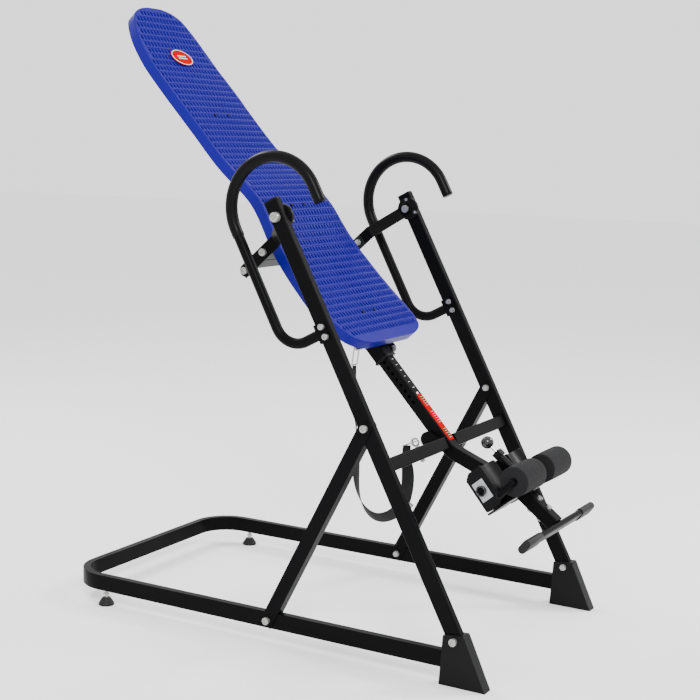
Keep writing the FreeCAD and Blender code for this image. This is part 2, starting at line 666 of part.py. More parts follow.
def bed_cross_tube():
    """Two stub tubes from the spine to the arms, each with a bolted end plate."""
    end_x = ARM_X - ARM_THICKNESS / 2
    pieces = []
    middle = arm_point(CROSS_TUBE_P)
    bolt_holes = [rod(arm_point(p), BOLT_HOLE, -400, 400) for p in ARM_BOLTS]
    for side in (-1, 1):
        a, b = side * SPINE / 2, side * (end_x - 4)
        stub = box_tube(along(middle, ARM_DIRECTION, -15), along(middle, ARM_DIRECTION, 15), CROSS_TUBE_WIDTH,
                        min(a, b), max(a, b), 3.0)
        a, b = side * (end_x - 4), side * end_x
        plate = bar(arm_point(124), arm_point(226), 28.0, min(a, b), max(a, b))
        pieces.append(stub.fuse(plate).cut(bolt_holes))
    return pieces


def bed_spine():
    """Square tube under the backrest that the boom slides in."""
    tube = box_tube(boom_point(SPINE_BOTTOM_S), boom_point(SPINE_TOP_S), SPINE,
                    -SPINE / 2, SPINE / 2, 3.0, 2.0)
    return tube.cut(rod(boom_point(HEIGHT_PIN_S), PULL_PIN_HOLE, 0, 60))


def spine_bushing():
    """Plastic collar in the mouth of the spine: the boom runs in it."""
    half = BOOM / 2 + 0.1
    outer = bar(boom_point(SPINE_BOTTOM_S), boom_point(SPINE_BOTTOM_S + BUSHING_LENGTH), SPINE - 4.2,
                -SPINE / 2 + 2.1, SPINE / 2 - 2.1, 1.0)
    lip = bar(boom_point(SPINE_BOTTOM_S - 6), boom_point(SPINE_BOTTOM_S), SPINE + 4,
              -SPINE / 2 - 2, SPINE / 2 + 2, 3.0)
    bore = bar(boom_point(-20), boom_point(120), 2 * half, -half, half, 3.0)
    return outer.fuse(lip).cut([bore, rod(boom_point(HEIGHT_PIN_S), PULL_PIN_HOLE, 0, 60)])


def board_face_u(s):
    """Height of the backrest's face over the boom's axis: lumbar swell, flat back, lifted head."""
    lumbar = LUMBAR_RISE * math.exp(-((s - LUMBAR_S) / LUMBAR_SPREAD) ** 2)
    seat = SEAT_RISE * math.exp(-((s - SEAT_S) / SEAT_SPREAD) ** 2)
    head = HEAD_RISE * max(0.0, (s - HEAD_S) / HEAD_SPREAD) ** 1.7
    return BOARD_FACE_U + lumbar + seat + head


def board_slab(upper, lower):
    """Solid across X between the face curve shifted down by upper and by lower."""
    stations = [BOARD_BOTTOM_S - 5 + (BOARD_TOP_S - BOARD_BOTTOM_S + 10) * k / 22 for k in range(23)]
    top = [point(-260, *boom_point(s, board_face_u(s) - upper)) for s in stations]
    bottom = [point(-260, *boom_point(s, board_face_u(s) - lower)) for s in stations]
    curves = []
    for points in (top, bottom):
        spline = Part.BSplineCurve()
        spline.interpolate(points)
        curves.append(spline.toShape())
    ends = [Part.makeLine(top[-1], bottom[-1]), Part.makeLine(bottom[0], top[0])]
    wire = Part.Wire(Part.sortEdges([curves[0], ends[0], curves[1], ends[1]])[0])
    return Part.Face(wire).extrude(FreeCAD.Vector(520, 0, 0))


def board_plan(inset):
    """Outline of the backrest seen square on, extruded through the whole thickness."""
    low, high = BOARD_BOTTOM_S, BOARD_TOP_S
    middle = (low + high) / 2
    left, right = [], []
    for s, half_width in BOARD_OUTLINE:
        shrink = (high - low - 2 * inset) / (high - low)
        s_in = middle + (s - middle) * shrink
        width_in = half_width * (BOARD_HALF_WIDTH - inset) / BOARD_HALF_WIDTH
        left.append(point(-width_in, *boom_point(s_in, -150)))
        right.append(point(width_in, *boom_point(s_in, -150)))
    loop = left + right[-2:0:-1]
    spline = Part.BSplineCurve()
    spline.interpolate(loop, PeriodicFlag=True)
    up = boom_point(0, 1)
    normal = FreeCAD.Vector(0, up[0] - BOOM_ORIGIN[0], up[1] - BOOM_ORIGIN[1])
    return Part.Face(Part.Wire(spline.toShape())).extrude(normal * 320)


def backrest_shell():
    """Moulded backrest: a curved face with a skirt all round, open underneath."""
    body = board_slab(0, BOARD_SKIRT).common(board_plan(0))
    hollow = board_slab(BOARD_THICKNESS, BOARD_SKIRT + 20).common(board_plan(BOARD_THICKNESS))
    return body.cut([hollow] + backrest_screws())


def backrest_brackets():
    """Folded supports that stand on the spine and carry the backrest."""
    pieces = []
    for s in BRACKET_S:
        lowest_face = min(board_face_u(s - 16), board_face_u(s), board_face_u(s + 16))
        top = lowest_face - BOARD_THICKNESS - 0.3
        low, high = boom_point(s, SPINE / 2), boom_point(s, top)
        outer = bar(low, high, 30.0, -45.0, 45.0)
        inner = bar(boom_point(s, SPINE / 2 + 2), boom_point(s, top - 2), 40.0, -43.0, 43.0)
        pieces.append(outer.cut([inner] + backrest_screws()))
    return pieces


def backrest_screws():
    screws = []
    for s in BRACKET_S:
        for x in SCREW_X:
            face = board_face_u(s)
            screws.append(tilted_cylinder(x, boom_point(s, face - BOARD_THICKNESS - 1.5),
                                          boom_point(s, face + 1.2), 9.0))
    return screws


def oval_badge():
    """Plain oval plate near the head end of the backrest."""
    face = max(board_face_u(BADGE_S - BADGE_HALF_LENGTH), board_face_u(BADGE_S + BADGE_HALF_LENGTH)) + 0.1
    centre = point(0, *boom_point(BADGE_S, face))
    up = boom_point(0, 1)
    normal = FreeCAD.Vector(0, up[0] - BOOM_ORIGIN[0], up[1] - BOOM_ORIGIN[1])
    ellipse = Part.Ellipse(centre, BADGE_HALF_WIDTH, BADGE_HALF_LENGTH)
    ellipse.Axis = normal
    ellipse.XAxis = FreeCAD.Vector(1, 0, 0)
    return Part.Face(Part.Wire(ellipse.toShape())).extrude(normal * 2.5)


def strap_clip():
    """Lug on the spine and the long wire loop that hangs from it to the top of the strap."""
    lug_end = CLIP_X - 16
    lug = bar(boom_point(CLIP_TOP_S - 9, CLIP_U), boom_point(CLIP_TOP_S + 9, CLIP_U), 4.0,
              lug_end, -SPINE / 2)
    top = boom_point(CLIP_TOP_S, CLIP_U - 3.5)
    return lug, wire_loop(CLIP_X, top, along(STRAP_ROUTE[0][1:], (0, 1), STRAP_END_GAP), 26.0, CLIP_WIRE)


# ---------------------------------------------------------------- tether strap


def tether_strap():
    """The strap's run as a plain round solid with arcs as large as its runs allow."""
    points = [FreeCAD.Vector(x, y - ORIGIN_Y, z) for x, y, z in STRAP_ROUTE]
    edges = []
    last = points[0]
    for before, here, after in zip(points, points[1:], points[2:]):
        d_in, d_out = here - before, after - here
        run_in, run_out = d_in.Length, d_out.Length
        d_in.normalize()
        d_out.normalize()
        turn = d_in.getAngle(d_out)
        reach = 0.45 * min(run_in, run_out)
        arc_start, arc_end = here - d_in * reach, here + d_out * reach
        radius = reach / math.tan(turn / 2)
        inward = d_out - d_in
        inward.normalize()
        centre = here + inward * (radius / math.cos(turn / 2))
        middle = centre - inward * radius
        edges.append(Part.LineSegment(last, arc_start).toShape())
        edges.append(Part.Arc(arc_start, middle, arc_end).toShape())
        last = arc_end
    edges.append(Part.LineSegment(last, points[-1]).toShape())
    wire = Part.Wire(edges)
    direction = points[1] - points[0]
    circle = Part.Wire(Part.makeCircle(STRAP_DIAMETER / 2, points[0], direction))
    solid = wire.makePipeShell([circle], True, False)
    print("strap length", round(wire.Length, 1))
    return solid


def strap_buckle():
    """Slide buckle that the strap passes through near its lower end."""
    x, y, z = STRAP_ROUTE[BUCKLE_POINT]
    centre = point(x, y, z)
    slot_width, slot_length = STRAP_WIDTH + 2.0, BUCKLE_LENGTH - 2 * BUCKLE_SIDE
    width = slot_width + 2 * BUCKLE_SIDE
    thickness = BUCKLE_THICKNESS
    frame = Part.makeBox(width, thickness, BUCKLE_LENGTH,
                         point(x - width / 2, y - thickness / 2, z - BUCKLE_LENGTH / 2))
    slot = Part.makeBox(slot_width, 2 * thickness, slot_length,
                        point(x - slot_width / 2, y - thickness, z - slot_length / 2))
    before, after = STRAP_ROUTE[BUCKLE_POINT - 1], STRAP_ROUTE[BUCKLE_POINT + 1]
    direction = unit(before[1:], after[1:])
    tilt = math.degrees(math.atan2(-direction[0], direction[1]))
    buckle = frame.cut(slot)
    buckle.rotate(centre, FreeCAD.Vector(1, 0, 0), tilt)
    buckle.rotate(centre, point(*after) - point(*before), BUCKLE_TURN)
    return buckle


# ---------------------------------------------------------------- height adjuster

def height_pin_housing():
    """Threaded barrel on the far side of the spine for the height pin."""
    centre = boom_point(HEIGHT_PIN_S)
    barrel = rod(centre, 18.0, SPINE / 2, SPINE / 2 + 22)
    return barrel.cut(rod(centre, PULL_PIN_BORE, SPINE / 2 - 1, SPINE / 2 + 30))


def height_pin():
    """Pull pin, its tip just clear of the boom so that the boom can slide."""
    centre = boom_point(HEIGHT_PIN_S)
    return rod(centre, PULL_PIN, BOOM / 2 + PIN_TIP_GAP, SPINE / 2 + 34)


def height_pin_knob():
    centre = boom_point(HEIGHT_PIN_S)
    knob = rod(centre, HEIGHT_KNOB, SPINE / 2 + 26, SPINE / 2 + 46)
    knob = knob.makeFillet(5.0, [e for e in knob.Edges if e.Curve.TypeId == "Part::GeomCircle"])
    return knob.cut(rod(centre, PULL_PIN, SPINE / 2 + 20, SPINE / 2 + 34))


# ---------------------------------------------------------------- boom and ankle unit

def square_along(runs, size, corner):
    """Solid swept along runs at X = 0 with a rounded square section."""
    start = runs[0][1]
    direction = unit(start, runs[0][2])
    half = size / 2
    blank = bar(start, along(start, direction, 1), size, -half, half, corner)
    middle = point(0, *start)
    end_face = min(blank.Faces, key=lambda f: f.CenterOfMass.distanceToPoint(middle))
    return path_wire(runs, 0).makePipeShell([end_face.OuterWire], True, False)


def boom_runs():
    return bent_path([POST_END, ANKLE_BEND, boom_point(BOOM_BEND_S), boom_point(BOOM_TOP_S)], [70.0, 70.0])


def boom_tube():
    """Bent square tube: straight slide with adjustment holes, middle run and ankle post."""
    runs = boom_runs()
    tube = square_along(runs, BOOM, 4.0).cut(square_along(runs, BOOM - 2 * TUBE_WALL, 2.2))
    lowest = HEIGHT_PIN_S - HOLE_PITCH * HOLES_BELOW_PIN
    holes = [rod(boom_point(lowest + HOLE_PITCH * k), BOLT_HOLE, -30, 30) for k in range(HOLE_COUNT)]
    holes.append(rod(CUP_AXIS, CUP_TUBE_BORE, -30, 30))
    half = ROLLER_ARM / 2 + 0.4
    holes.append(bar(roller_arm_point(ARM_BOTTOM + 14), roller_arm_point(ARM_BOTTOM - 32),
                     2 * half, -half, half))
    for distance in FOOTREST_BOLTS:
        centre = along(POST_END, post_direction(), distance)
        holes.append(tilted_cylinder(0, along(centre, post_direction(), 0, -30),
                                     along(centre, post_direction(), 0, 30), BOLT_HOLE))
    return tube.cut(holes)


def boom_label():
    """Plain strip on the upper face of the boom."""
    rise = BOOM / 2 + 0.35
    return bar(boom_point(LABEL_LOW_S, rise), boom_point(LABEL_HIGH_S, rise), 0.6,
               -LABEL_WIDTH / 2, LABEL_WIDTH / 2)


def cup_point(along_leg, to_front=0.0):
    return along(CUP_AXIS, (math.cos(CUP_ANGLE), math.sin(CUP_ANGLE)), along_leg, to_front)


def ankle_cup():
    """Moulded block behind one ankle, hollowed at the front to hold it."""
    x0, x1 = -CUP_OUTER_X, -CUP_INNER_X
    body = polygon([cup_point(-50, -24), cup_point(40, -24), cup_point(52, -8), cup_point(52, 30),
                    cup_point(-38, 30), cup_point(-50, 18)], x0, x1)
    body = body.makeFillet(6.0, [e for e in body.Edges if abs(e.tangentAt(e.FirstParameter).x) > 0.999])
    rest = Part.makeCylinder(62.0, 160.0, point((x0 + x1) / 2, *cup_point(-80, 78)),
                             FreeCAD.Vector(0, math.cos(CUP_ANGLE), math.sin(CUP_ANGLE)))
    return body.cut([rest, rod(CUP_AXIS, CUP_TUBE_BORE, x0 - 1, x1 + 1)])


def cup_end_plate():
    """Grey plate let into the outer end of one ankle cup, round the cross tube."""
    plate = bar(cup_point(-25), cup_point(25), 32.0, -CUP_OUTER_X - CUP_PLATE, -CUP_OUTER_X)
    return plate.cut(rod(CUP_AXIS, CUP_TUBE_BORE, -130, -110))


def cup_cross_tube():
    tube = rod(CUP_AXIS, CUP_TUBE, -CUP_TUBE_END_X, CUP_TUBE_END_X)
    return tube.cut(rod(CUP_AXIS, CUP_TUBE - 4.0, -123.0, 123.0))


def heel_plate():
    """Bent plate under one ankle cup, welded to the side of the boom."""
    return bar(cup_point(-54, -26), cup_point(-54, 44), 5.0, -118.0, -BOOM / 2)


def post_direction():
    return unit(POST_END, ANKLE_BEND)


def footrest_oval(centre, direction, thickness, x0, x1):
    """Bar along X whose section is a flat with two round edges."""
    sides = [along(centre, direction, 0, side) for side in (-FOOTREST_HALF_FLAT, FOOTREST_HALF_FLAT)]
    body = bar(sides[0], sides[1], thickness, x0, x1)
    for side in sides:
        body = body.fuse(rod(side, thickness, x0, x1))
    return body.removeSplitter()


def footrest_bar():
    """Flat oval bar across the end of the boom."""
    direction = post_direction()
    centre = along(POST_END, direction, -FOOTREST_BELOW)
    return footrest_oval(centre, direction, FOOTREST_THICKNESS, -FOOTREST_END_X, FOOTREST_END_X)


def footrest_grip():
    """Rubber end sleeve on the left end of the footrest bar."""
    direction = post_direction()
    centre = along(POST_END, direction, -FOOTREST_BELOW)
    x0, x1 = FOOTREST_GRIP_X
    sleeve = footrest_oval(centre, direction, FOOTREST_GRIP, x0, x1)
    return sleeve.cut(footrest_oval(centre, direction, FOOTREST_THICKNESS + 0.05, -FOOTREST_END_X, x1 + 1))


def footrest_bolts():
    """Bolts from front to back through the ankle post."""
    direction = post_direction()
    bolts = []
    for distance in FOOTREST_BOLTS:
        centre = along(POST_END, direction, distance)
        half = BOOM / 2
        turned = []
        for low, high, diameter in ((-half - 6, half + 3, BOLT_SHANK), (half, half + 6, BOLT_HEAD),
                                    (-half - 6, -half, BOLT_HEAD)):
            turned.append(tilted_cylinder(0, along(centre, direction, 0, low),
                                          along(centre, direction, 0, high), diameter))
        bolts.append(turned[0].fuse(turned[1:]))
    return bolts


def roller_arm_point(distance):
    return along(ROLLER_AXIS, ARM_AXIS, -distance)


def arm_sleeve():
    """Square socket on top of the boom that the roller arm slides in."""
    half = ROLLER_ARM / 2 + 0.1
    outer = bar(roller_arm_point(SLEEVE_BOTTOM), roller_arm_point(SLEEVE_TOP), ROLLER_ARM + 8, -15.0, 15.0)
    outer = outer.cut(square_along(boom_runs(), BOOM, 4.0))
    inner = bar(roller_arm_point(SLEEVE_BOTTOM + 17), roller_arm_point(SLEEVE_TOP - 10),
                2 * half, -half, half)
    pin_hole = tilted_cylinder(0, PIN_POINT, along(PIN_POINT, PIN_AXIS, 40), PULL_PIN_HOLE)
    return outer.cut([inner, pin_hole])


def ankle_pin_housing():
    """Barrel and square nut that guide the ankle pull pin."""
    wall = ROLLER_ARM / 2 + 4
    barrel = tilted_cylinder(0, along(PIN_POINT, PIN_AXIS, wall + 0.1), along(PIN_POINT, PIN_AXIS, 90), 16.0)
    nut = bar(along(PIN_POINT, PIN_AXIS, 88), along(PIN_POINT, PIN_AXIS, 104), 21.0, -10.5, 10.5)
    bore = tilted_cylinder(0, along(PIN_POINT, PIN_AXIS, wall - 5), along(PIN_POINT, PIN_AXIS, 110),
                           PULL_PIN_BORE)
    return barrel.fuse(nut).cut(bore)


def ankle_pin():
    tip = along(PIN_POINT, PIN_AXIS, ROLLER_ARM / 2 + PIN_TIP_GAP)
    return tilted_cylinder(0, tip, along(PIN_POINT, PIN_AXIS, BALL_DISTANCE - 10), PULL_PIN)


def ankle_pin_knob():
    centre = point(0, *along(PIN_POINT, PIN_AXIS, BALL_DISTANCE))
    ball = Part.makeSphere(BALL_DIAMETER / 2, centre)
    return ball.cut(tilted_cylinder(0, PIN_POINT, along(PIN_POINT, PIN_AXIS, BALL_DISTANCE - 10), PULL_PIN))


def roller_arm():
    """Square tube that slides in the sleeve and carries the roller axle."""
    half = ROLLER_ARM / 2
    tube = box_tube(roller_arm_point(ARM_BOTTOM), roller_arm_point(-14), ROLLER_ARM, -half, half, 2.0, 2.0)
    pin_holes = []
    for step in (-1, 0, 1):
        centre = along(PIN_POINT, ARM_AXIS, step * ARM_HOLE_PITCH)
        pin_holes.append(tilted_cylinder(0, centre, along(centre, PIN_AXIS, 20), BOLT_HOLE))
    return tube.cut([rod(ROLLER_AXIS, AXLE_DIAMETER, -20, 20)] + pin_holes)


def roller_axle():
    """Axle through both rollers, its ends turned back towards the ankle cups."""
    end_x = ROLLER_OUTER_X + 9
    axle = rod(ROLLER_AXIS, AXLE_DIAMETER, -end_x, end_x)
    tip = along(ROLLER_AXIS, AXLE_END_DIRECTION, AXLE_END_LENGTH)
    pieces = []
    for side in (-1, 1):
        x = side * end_x
        pieces.append(Part.makeSphere(AXLE_DIAMETER / 2, point(x, *ROLLER_AXIS)))
        pieces.append(tilted_cylinder(x, ROLLER_AXIS, tip, AXLE_DIAMETER))
        pieces.append(Part.makeSphere(AXLE_DIAMETER / 2, point(x, *tip)))
        a, b = side * (ROLLER_INNER_X - 1), side * (ROLLER_INNER_X - 5)
        pieces.append(rod(ROLLER_AXIS, AXLE_COLLAR, min(a, b), max(a, b)))
    return axle.fuse(pieces)


def foam_roller():
    """Foam sleeve on its core, free to spin on the axle."""
    body = rod(ROLLER_AXIS, ROLLER_DIAMETER, -ROLLER_OUTER_X, -ROLLER_INNER_X)
    body = body.makeFillet(5.0, [e for e in body.Edges if e.Curve.TypeId == "Part::GeomCircle"])
    return body.cut(rod(ROLLER_AXIS, AXLE_DIAMETER + 0.2, -ROLLER_OUTER_X - 1, -ROLLER_INNER_X + 1))


def build():
    strut_outer = FRAME_X + UPRIGHT_WIDTH / 2 + FIT + STRUT_SHEET
    strut_inner = FRAME_X - UPRIGHT_WIDTH / 2 - FIT - STRUT_SHEET
    shoe_outer, shoe_inner = FRAME_X + SHOE_HALF_WIDTH, FRAME_X - SHOE_HALF_WIDTH

    save("base_frame", base_frame())
    save_pair("upright", upright())
    save("upright_caps", *both_sides(upright_cap()))
    save_pair("foot_shoe", foot_shoe())
    save("foot_bolts", *both_sides(bolt_heads(foot_bolt_centre(), -shoe_outer, -shoe_inner)))
    save_pair("strut", strut())
    strut_bolts = []
    for centre in (STRUT_TOP, STRUT_BOTTOM):
        strut_bolts.extend(both_sides(bolt_heads(centre, -strut_outer, -strut_inner)))
    save("strut_bolts", *strut_bolts)
    save("crossbar", crossbar())
    save("crossbar_bumper", crossbar_bumper())
    save("strap_eye_bolt", *eye_bolt())
    save_pair("handle", round_tube(handle_runs(), -FRAME_X, HANDLE_DIAMETER, 2.0))
    save_pair("handle_grip", handle_grip())
    save("handle_brackets", *both_sides(handle_bracket()))
    handle_bolts = []
    for offset in HANDLE_BOLT_OFFSETS:
        centre = upright_point(HANDLE_S + offset)
        handle_bolts.extend(both_sides(bolt_heads(centre, -strut_outer, -strut_inner,
                                                  across=SMALL_BOLT_HEAD, height=SMALL_BOLT_HEIGHT)))
    save("handle_bolts", *handle_bolts)
    save("bearing_housings", *both_sides(bearing_housing()))
    screws = housing_screws()
    save("housing_screws", *screws, *[mirrored(s) for s in screws])
    save_pair("leveller_foot", leveller_foot())
    save_pair("leveller_stud", leveller_stud())

    save_pair("pivot_arm", pivot_arm())
    save("pivot_pins", *both_sides(pivot_pin()))
    arm_bolts = []
    for p in ARM_BOLTS:
        arm_bolts.extend(both_sides(bolt_heads(arm_point(p), -ARM_X - ARM_THICKNESS / 2,
                                               -ARM_X + ARM_THICKNESS / 2 + 4)))
    save("arm_bolts", *arm_bolts)
    save("bed_cross_tube", *bed_cross_tube())
    save("bed_spine", bed_spine())
    save("spine_bushing", spine_bushing())
    save("backrest_shell", backrest_shell())
    save("backrest_brackets", *backrest_brackets())
    save("backrest_screws", *backrest_screws())
    save("oval_badge", oval_badge())
    save("strap_clip", *strap_clip())
    save("tether_strap", tether_strap())
    save("strap_buckle", strap_buckle())

    save("height_pin_housing", height_pin_housing())
    save("height_pin", height_pin())
    save("height_pin_knob", height_pin_knob())

    save("boom_tube", boom_tube())
    save("boom_label", boom_label())
    save("cup_cross_tube", cup_cross_tube())
    save_pair("ankle_cup", ankle_cup())
    save("cup_end_plates", *both_sides(cup_end_plate()))
    save("heel_plates", *both_sides(heel_plate()))
    save("footrest_bar", footrest_bar())
    save("footrest_grips", *both_sides(footrest_grip()))
    save("footrest_bolts", *footrest_bolts())
    save("arm_sleeve", arm_sleeve())
    save("ankle_pin_housing", ankle_pin_housing())
    save("ankle_pin", ankle_pin())
    save("ankle_pin_knob", ankle_pin_knob())
    save("roller_arm", roller_arm())
    save("roller_axle", roller_axle())
    save_pair("foam_roller", foam_roller())


build()
os.makedirs("parts", exist_ok=True)
whole = FreeCAD.BoundBox()
for name, shape in PARTS.items():
    if not shape.isValid() or not shape.Solids:
        print("bad shape:", name, shape.isValid(), len(shape.Solids))
    whole.add(shape.BoundBox)
    shape.exportStep("parts/" + name + ".step")
print(len(PARTS), "parts, box", whole)
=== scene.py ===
# %% [markdown]
# # An inversion table
#
# An inversion table is a bed that tips its user head down. A bolted A-frame carries the bed between
# two pivots. This lesson starts from the engineering model, which already has every tube, bolt and
# hinge at its real size, and adds what an engineer leaves plain: the perforated backrest, the foam,
# the webbing, the moulded feet and the finish of each surface.
#
# Everything is in metres. X runs across the table, +Y towards the head end and Z up.

# %% Load the engineering model
import math

import bpy
import numpy as np
from mathutils import Matrix
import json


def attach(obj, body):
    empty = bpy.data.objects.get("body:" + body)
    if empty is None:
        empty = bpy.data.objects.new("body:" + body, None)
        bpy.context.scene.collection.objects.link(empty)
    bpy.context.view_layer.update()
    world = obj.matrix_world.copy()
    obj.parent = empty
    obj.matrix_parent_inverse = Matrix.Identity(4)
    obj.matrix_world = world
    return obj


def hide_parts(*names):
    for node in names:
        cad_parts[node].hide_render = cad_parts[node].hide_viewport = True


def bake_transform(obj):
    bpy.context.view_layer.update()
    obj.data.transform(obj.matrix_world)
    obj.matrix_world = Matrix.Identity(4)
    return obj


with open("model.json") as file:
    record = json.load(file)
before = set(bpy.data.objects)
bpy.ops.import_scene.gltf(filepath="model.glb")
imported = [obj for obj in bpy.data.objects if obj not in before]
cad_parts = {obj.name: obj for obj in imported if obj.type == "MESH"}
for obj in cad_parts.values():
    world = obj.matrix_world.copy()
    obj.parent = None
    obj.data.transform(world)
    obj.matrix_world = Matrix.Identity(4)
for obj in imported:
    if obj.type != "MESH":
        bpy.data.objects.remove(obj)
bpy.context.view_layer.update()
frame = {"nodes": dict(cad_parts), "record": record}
nodes = frame["nodes"]

# %% [markdown]
# Blender's operators act on whatever is selected, and the engineering model arrives selected. So
# everything is deselected first, and every new piece is taken in hand on its own.

# %% Helpers that take a piece in hand
def deselect():
    bpy.ops.object.select_all(action="DESELECT")


def take(piece):
    deselect()
    piece.select_set(True)
    bpy.context.view_layer.objects.active = piece
    return piece


def named(name):
    """Names the newest piece and puts its place into its mesh."""
    piece = bpy.context.object
    piece.name = name
    piece.data.name = name
    bpy.ops.object.transform_apply(location=True, rotation=True, scale=True)
    return piece


def modify(piece, kind, **settings):
    """Adds one modifier with these settings and applies it at once."""
    take(piece)
    bpy.ops.object.modifier_add(type=kind)
    modifier = piece.modifiers[-1]
    for setting, value in settings.items():
        setattr(modifier, setting, value)
    bpy.ops.object.modifier_apply(modifier=modifier.name)
    return piece


def choose_faces(piece, wanted):
    """Selects the faces whose centre and normal pass the test, in edit mode."""
    take(piece)
    bpy.ops.object.mode_set(mode="OBJECT")
    for item in list(piece.data.vertices) + list(piece.data.edges):
        item.select = False
    for face in piece.data.polygons:
        face.select = bool(wanted(face.center, face.normal))
    bpy.ops.object.mode_set(mode="EDIT")
    bpy.ops.mesh.select_mode(type="FACE")


def back_to_object():
    bpy.ops.object.mode_set(mode="OBJECT")


def outward(piece):
    """Turns every face to the outside."""
    take(piece)
    bpy.ops.object.mode_set(mode="EDIT")
    bpy.ops.mesh.select_all(action="SELECT")
    bpy.ops.mesh.normals_make_consistent(inside=False)
    back_to_object()
    return piece


def smooth(piece, degrees=35):
    take(piece)
    bpy.ops.object.shade_smooth_by_angle(angle=math.radians(degrees))
    return piece


def join(name, pieces):
    """Makes one piece out of several."""
    deselect()
    for piece in pieces:
        piece.select_set(True)
    bpy.context.view_layer.objects.active = pieces[0]
    bpy.ops.object.join()
    return named(name)


def copy_of(piece, name, move=(0, 0, 0), mirror=False):
    """A copy with its own mesh, moved, and mirrored across X = 0 if asked."""
    twin = piece.copy()
    twin.data = piece.data.copy()
    bpy.context.collection.objects.link(twin)
    take(twin)
    twin.location = move
    if mirror:
        twin.scale = (-1, 1, 1)
    named(name)
    return outward(twin) if mirror else twin


deselect()

# %% [markdown]
# ## Where things are
#
# Most pieces lie in the plane of one side of the table, so they are placed by two numbers, y and z.
# The uprights lean forward. The boom and the bed run along another line, so three short helpers
# turn "so far along, so far off" into a place.

# %% Lines of the frame and the bed
MM = 0.001
ORIGIN_Y = 510.45
LEAN = math.atan(0.53)
BOOM_ANGLE = math.radians(47.2)
SIDE_X = 334 * MM


def at(y, z):
    return ((y - ORIGIN_Y) * MM, z * MM)


def on_upright(s, t=0.0):
    y = -57 + s * math.sin(LEAN) + t * math.cos(LEAN)
    return at(y, s * math.cos(LEAN) - t * math.sin(LEAN))


def on_boom(s, u=0.0):
    y = 372 + s * math.cos(BOOM_ANGLE) - u * math.sin(BOOM_ANGLE)
    return at(y, 660 + s * math.sin(BOOM_ANGLE) + u * math.cos(BOOM_ANGLE))


PIVOT = at(490, 1032)
ROLLER_AXIS = at(-42.5, 435.4)
CUP_AXIS = at(44, 399)
print("pivot at y, z =", [round(c, 4) for c in PIVOT])

# %% [markdown]
# ## Camera
#
# The camera stands low on the near left, a long way back with a long lens, so that parallel tubes
# stay nearly parallel. It comes first because the strap's check needs it.

# %% Camera
def place_camera():
    azimuth, elevation, roll = math.radians(-60.222), math.radians(7.808), math.radians(1.252)
    back = np.array([math.sin(azimuth) * math.cos(elevation), -math.cos(azimuth) * math.cos(elevation),
                     math.sin(elevation)])
    right = np.array([math.cos(azimuth), math.sin(azimuth), 0.0])
    up = np.cross(back, right)
    turned_right = math.cos(roll) * right + math.sin(roll) * up
    turned_up = -math.sin(roll) * right + math.cos(roll) * up
    bpy.ops.object.camera_add()
    camera = bpy.context.object
    camera.name = "camera"
    rows = np.column_stack([turned_right, turned_up, back, [-3.0866, -1.78475, 1.2062]])
    camera.matrix_world = Matrix([list(row) for row in rows] + [[0, 0, 0, 1]])
    camera.data.lens = 71.98
    camera.data.sensor_width = 36
    camera.data.shift_x = 0.0044
    camera.data.shift_y = -0.0217
    bpy.context.scene.camera = camera
    return camera


camera = place_camera()
print("camera lens", camera.data.lens)

# %% [markdown]
# ## Finishes
#
# Every finish is made of noise and waves in the piece's own coordinates, so nothing is painted on
# by hand. What several finishes share, such as fine grain or dust, is a node group.

# %% Helpers for node groups
def new_group(name, inputs, outputs):
    group = bpy.data.node_groups.new(name, "ShaderNodeTree")
    for label, kind, value in inputs:
        socket = group.interface.new_socket(name=label, in_out="INPUT", socket_type=kind)
        if value is not None:
            socket.default_value = value
    for label, kind in outputs:
        group.interface.new_socket(name=label, in_out="OUTPUT", socket_type=kind)
    return group, group.nodes.new("NodeGroupInput"), group.nodes.new("NodeGroupOutput")


def add(tree, kind, **settings):
    node = tree.nodes.new(kind)
    for key, value in settings.items():
        if key in node.inputs:
            node.inputs[key].default_value = value
        else:
            setattr(node, key, value)
    return node


def mix_colours(tree, factor, first, second):
    """Mixes two colours, each a socket or a plain colour, by a factor socket."""
    node = tree.nodes.new("ShaderNodeMix")
    node.data_type = "RGBA"
    tree.links.new(factor, node.inputs["Factor"])
    for slot, colour in ((6, first), (7, second)):
        if isinstance(colour, bpy.types.NodeSocket):
            tree.links.new(colour, node.inputs[slot])
        else:
            node.inputs[slot].default_value = colour
    return node.outputs[2]


def to_range(tree, value, low, high, new_low, new_high):
    node = tree.nodes.new("ShaderNodeMapRange")
    for key, number in (("From Min", low), ("From Max", high), ("To Min", new_low), ("To Max", new_high)):
        node.inputs[key].default_value = number
    tree.links.new(value, node.inputs["Value"])
    return node.outputs["Result"]


# %% [markdown]
# Powder coat isn't mirror flat. It has a faint skin like an orange's, a few soft smears, and a
# little dust that shows as a paler, duller patch.

# %% Group: fine grain, for skins and moulded plastic
def make_grain_group():
    group, source, sink = new_group(
        "fine_grain",
        [("Vector", "NodeSocketVector", None), ("Scale", "NodeSocketFloat", 400.0), ("Softness", "NodeSocketFloat", 0.5)],
        [("Height", "NodeSocketFloat"), ("Mask", "NodeSocketFloat")])
    noise = add(group, "ShaderNodeTexNoise", Detail=3.0)
    group.links.new(source.outputs["Vector"], noise.inputs["Vector"])
    group.links.new(source.outputs["Scale"], noise.inputs["Scale"])
    group.links.new(source.outputs["Softness"], noise.inputs["Roughness"])
    group.links.new(noise.outputs["Fac"], sink.inputs["Height"])
    group.links.new(to_range(group, noise.outputs["Fac"], 0.35, 0.65, 0.0, 1.0), sink.inputs["Mask"])
    return group


GRAIN = make_grain_group()

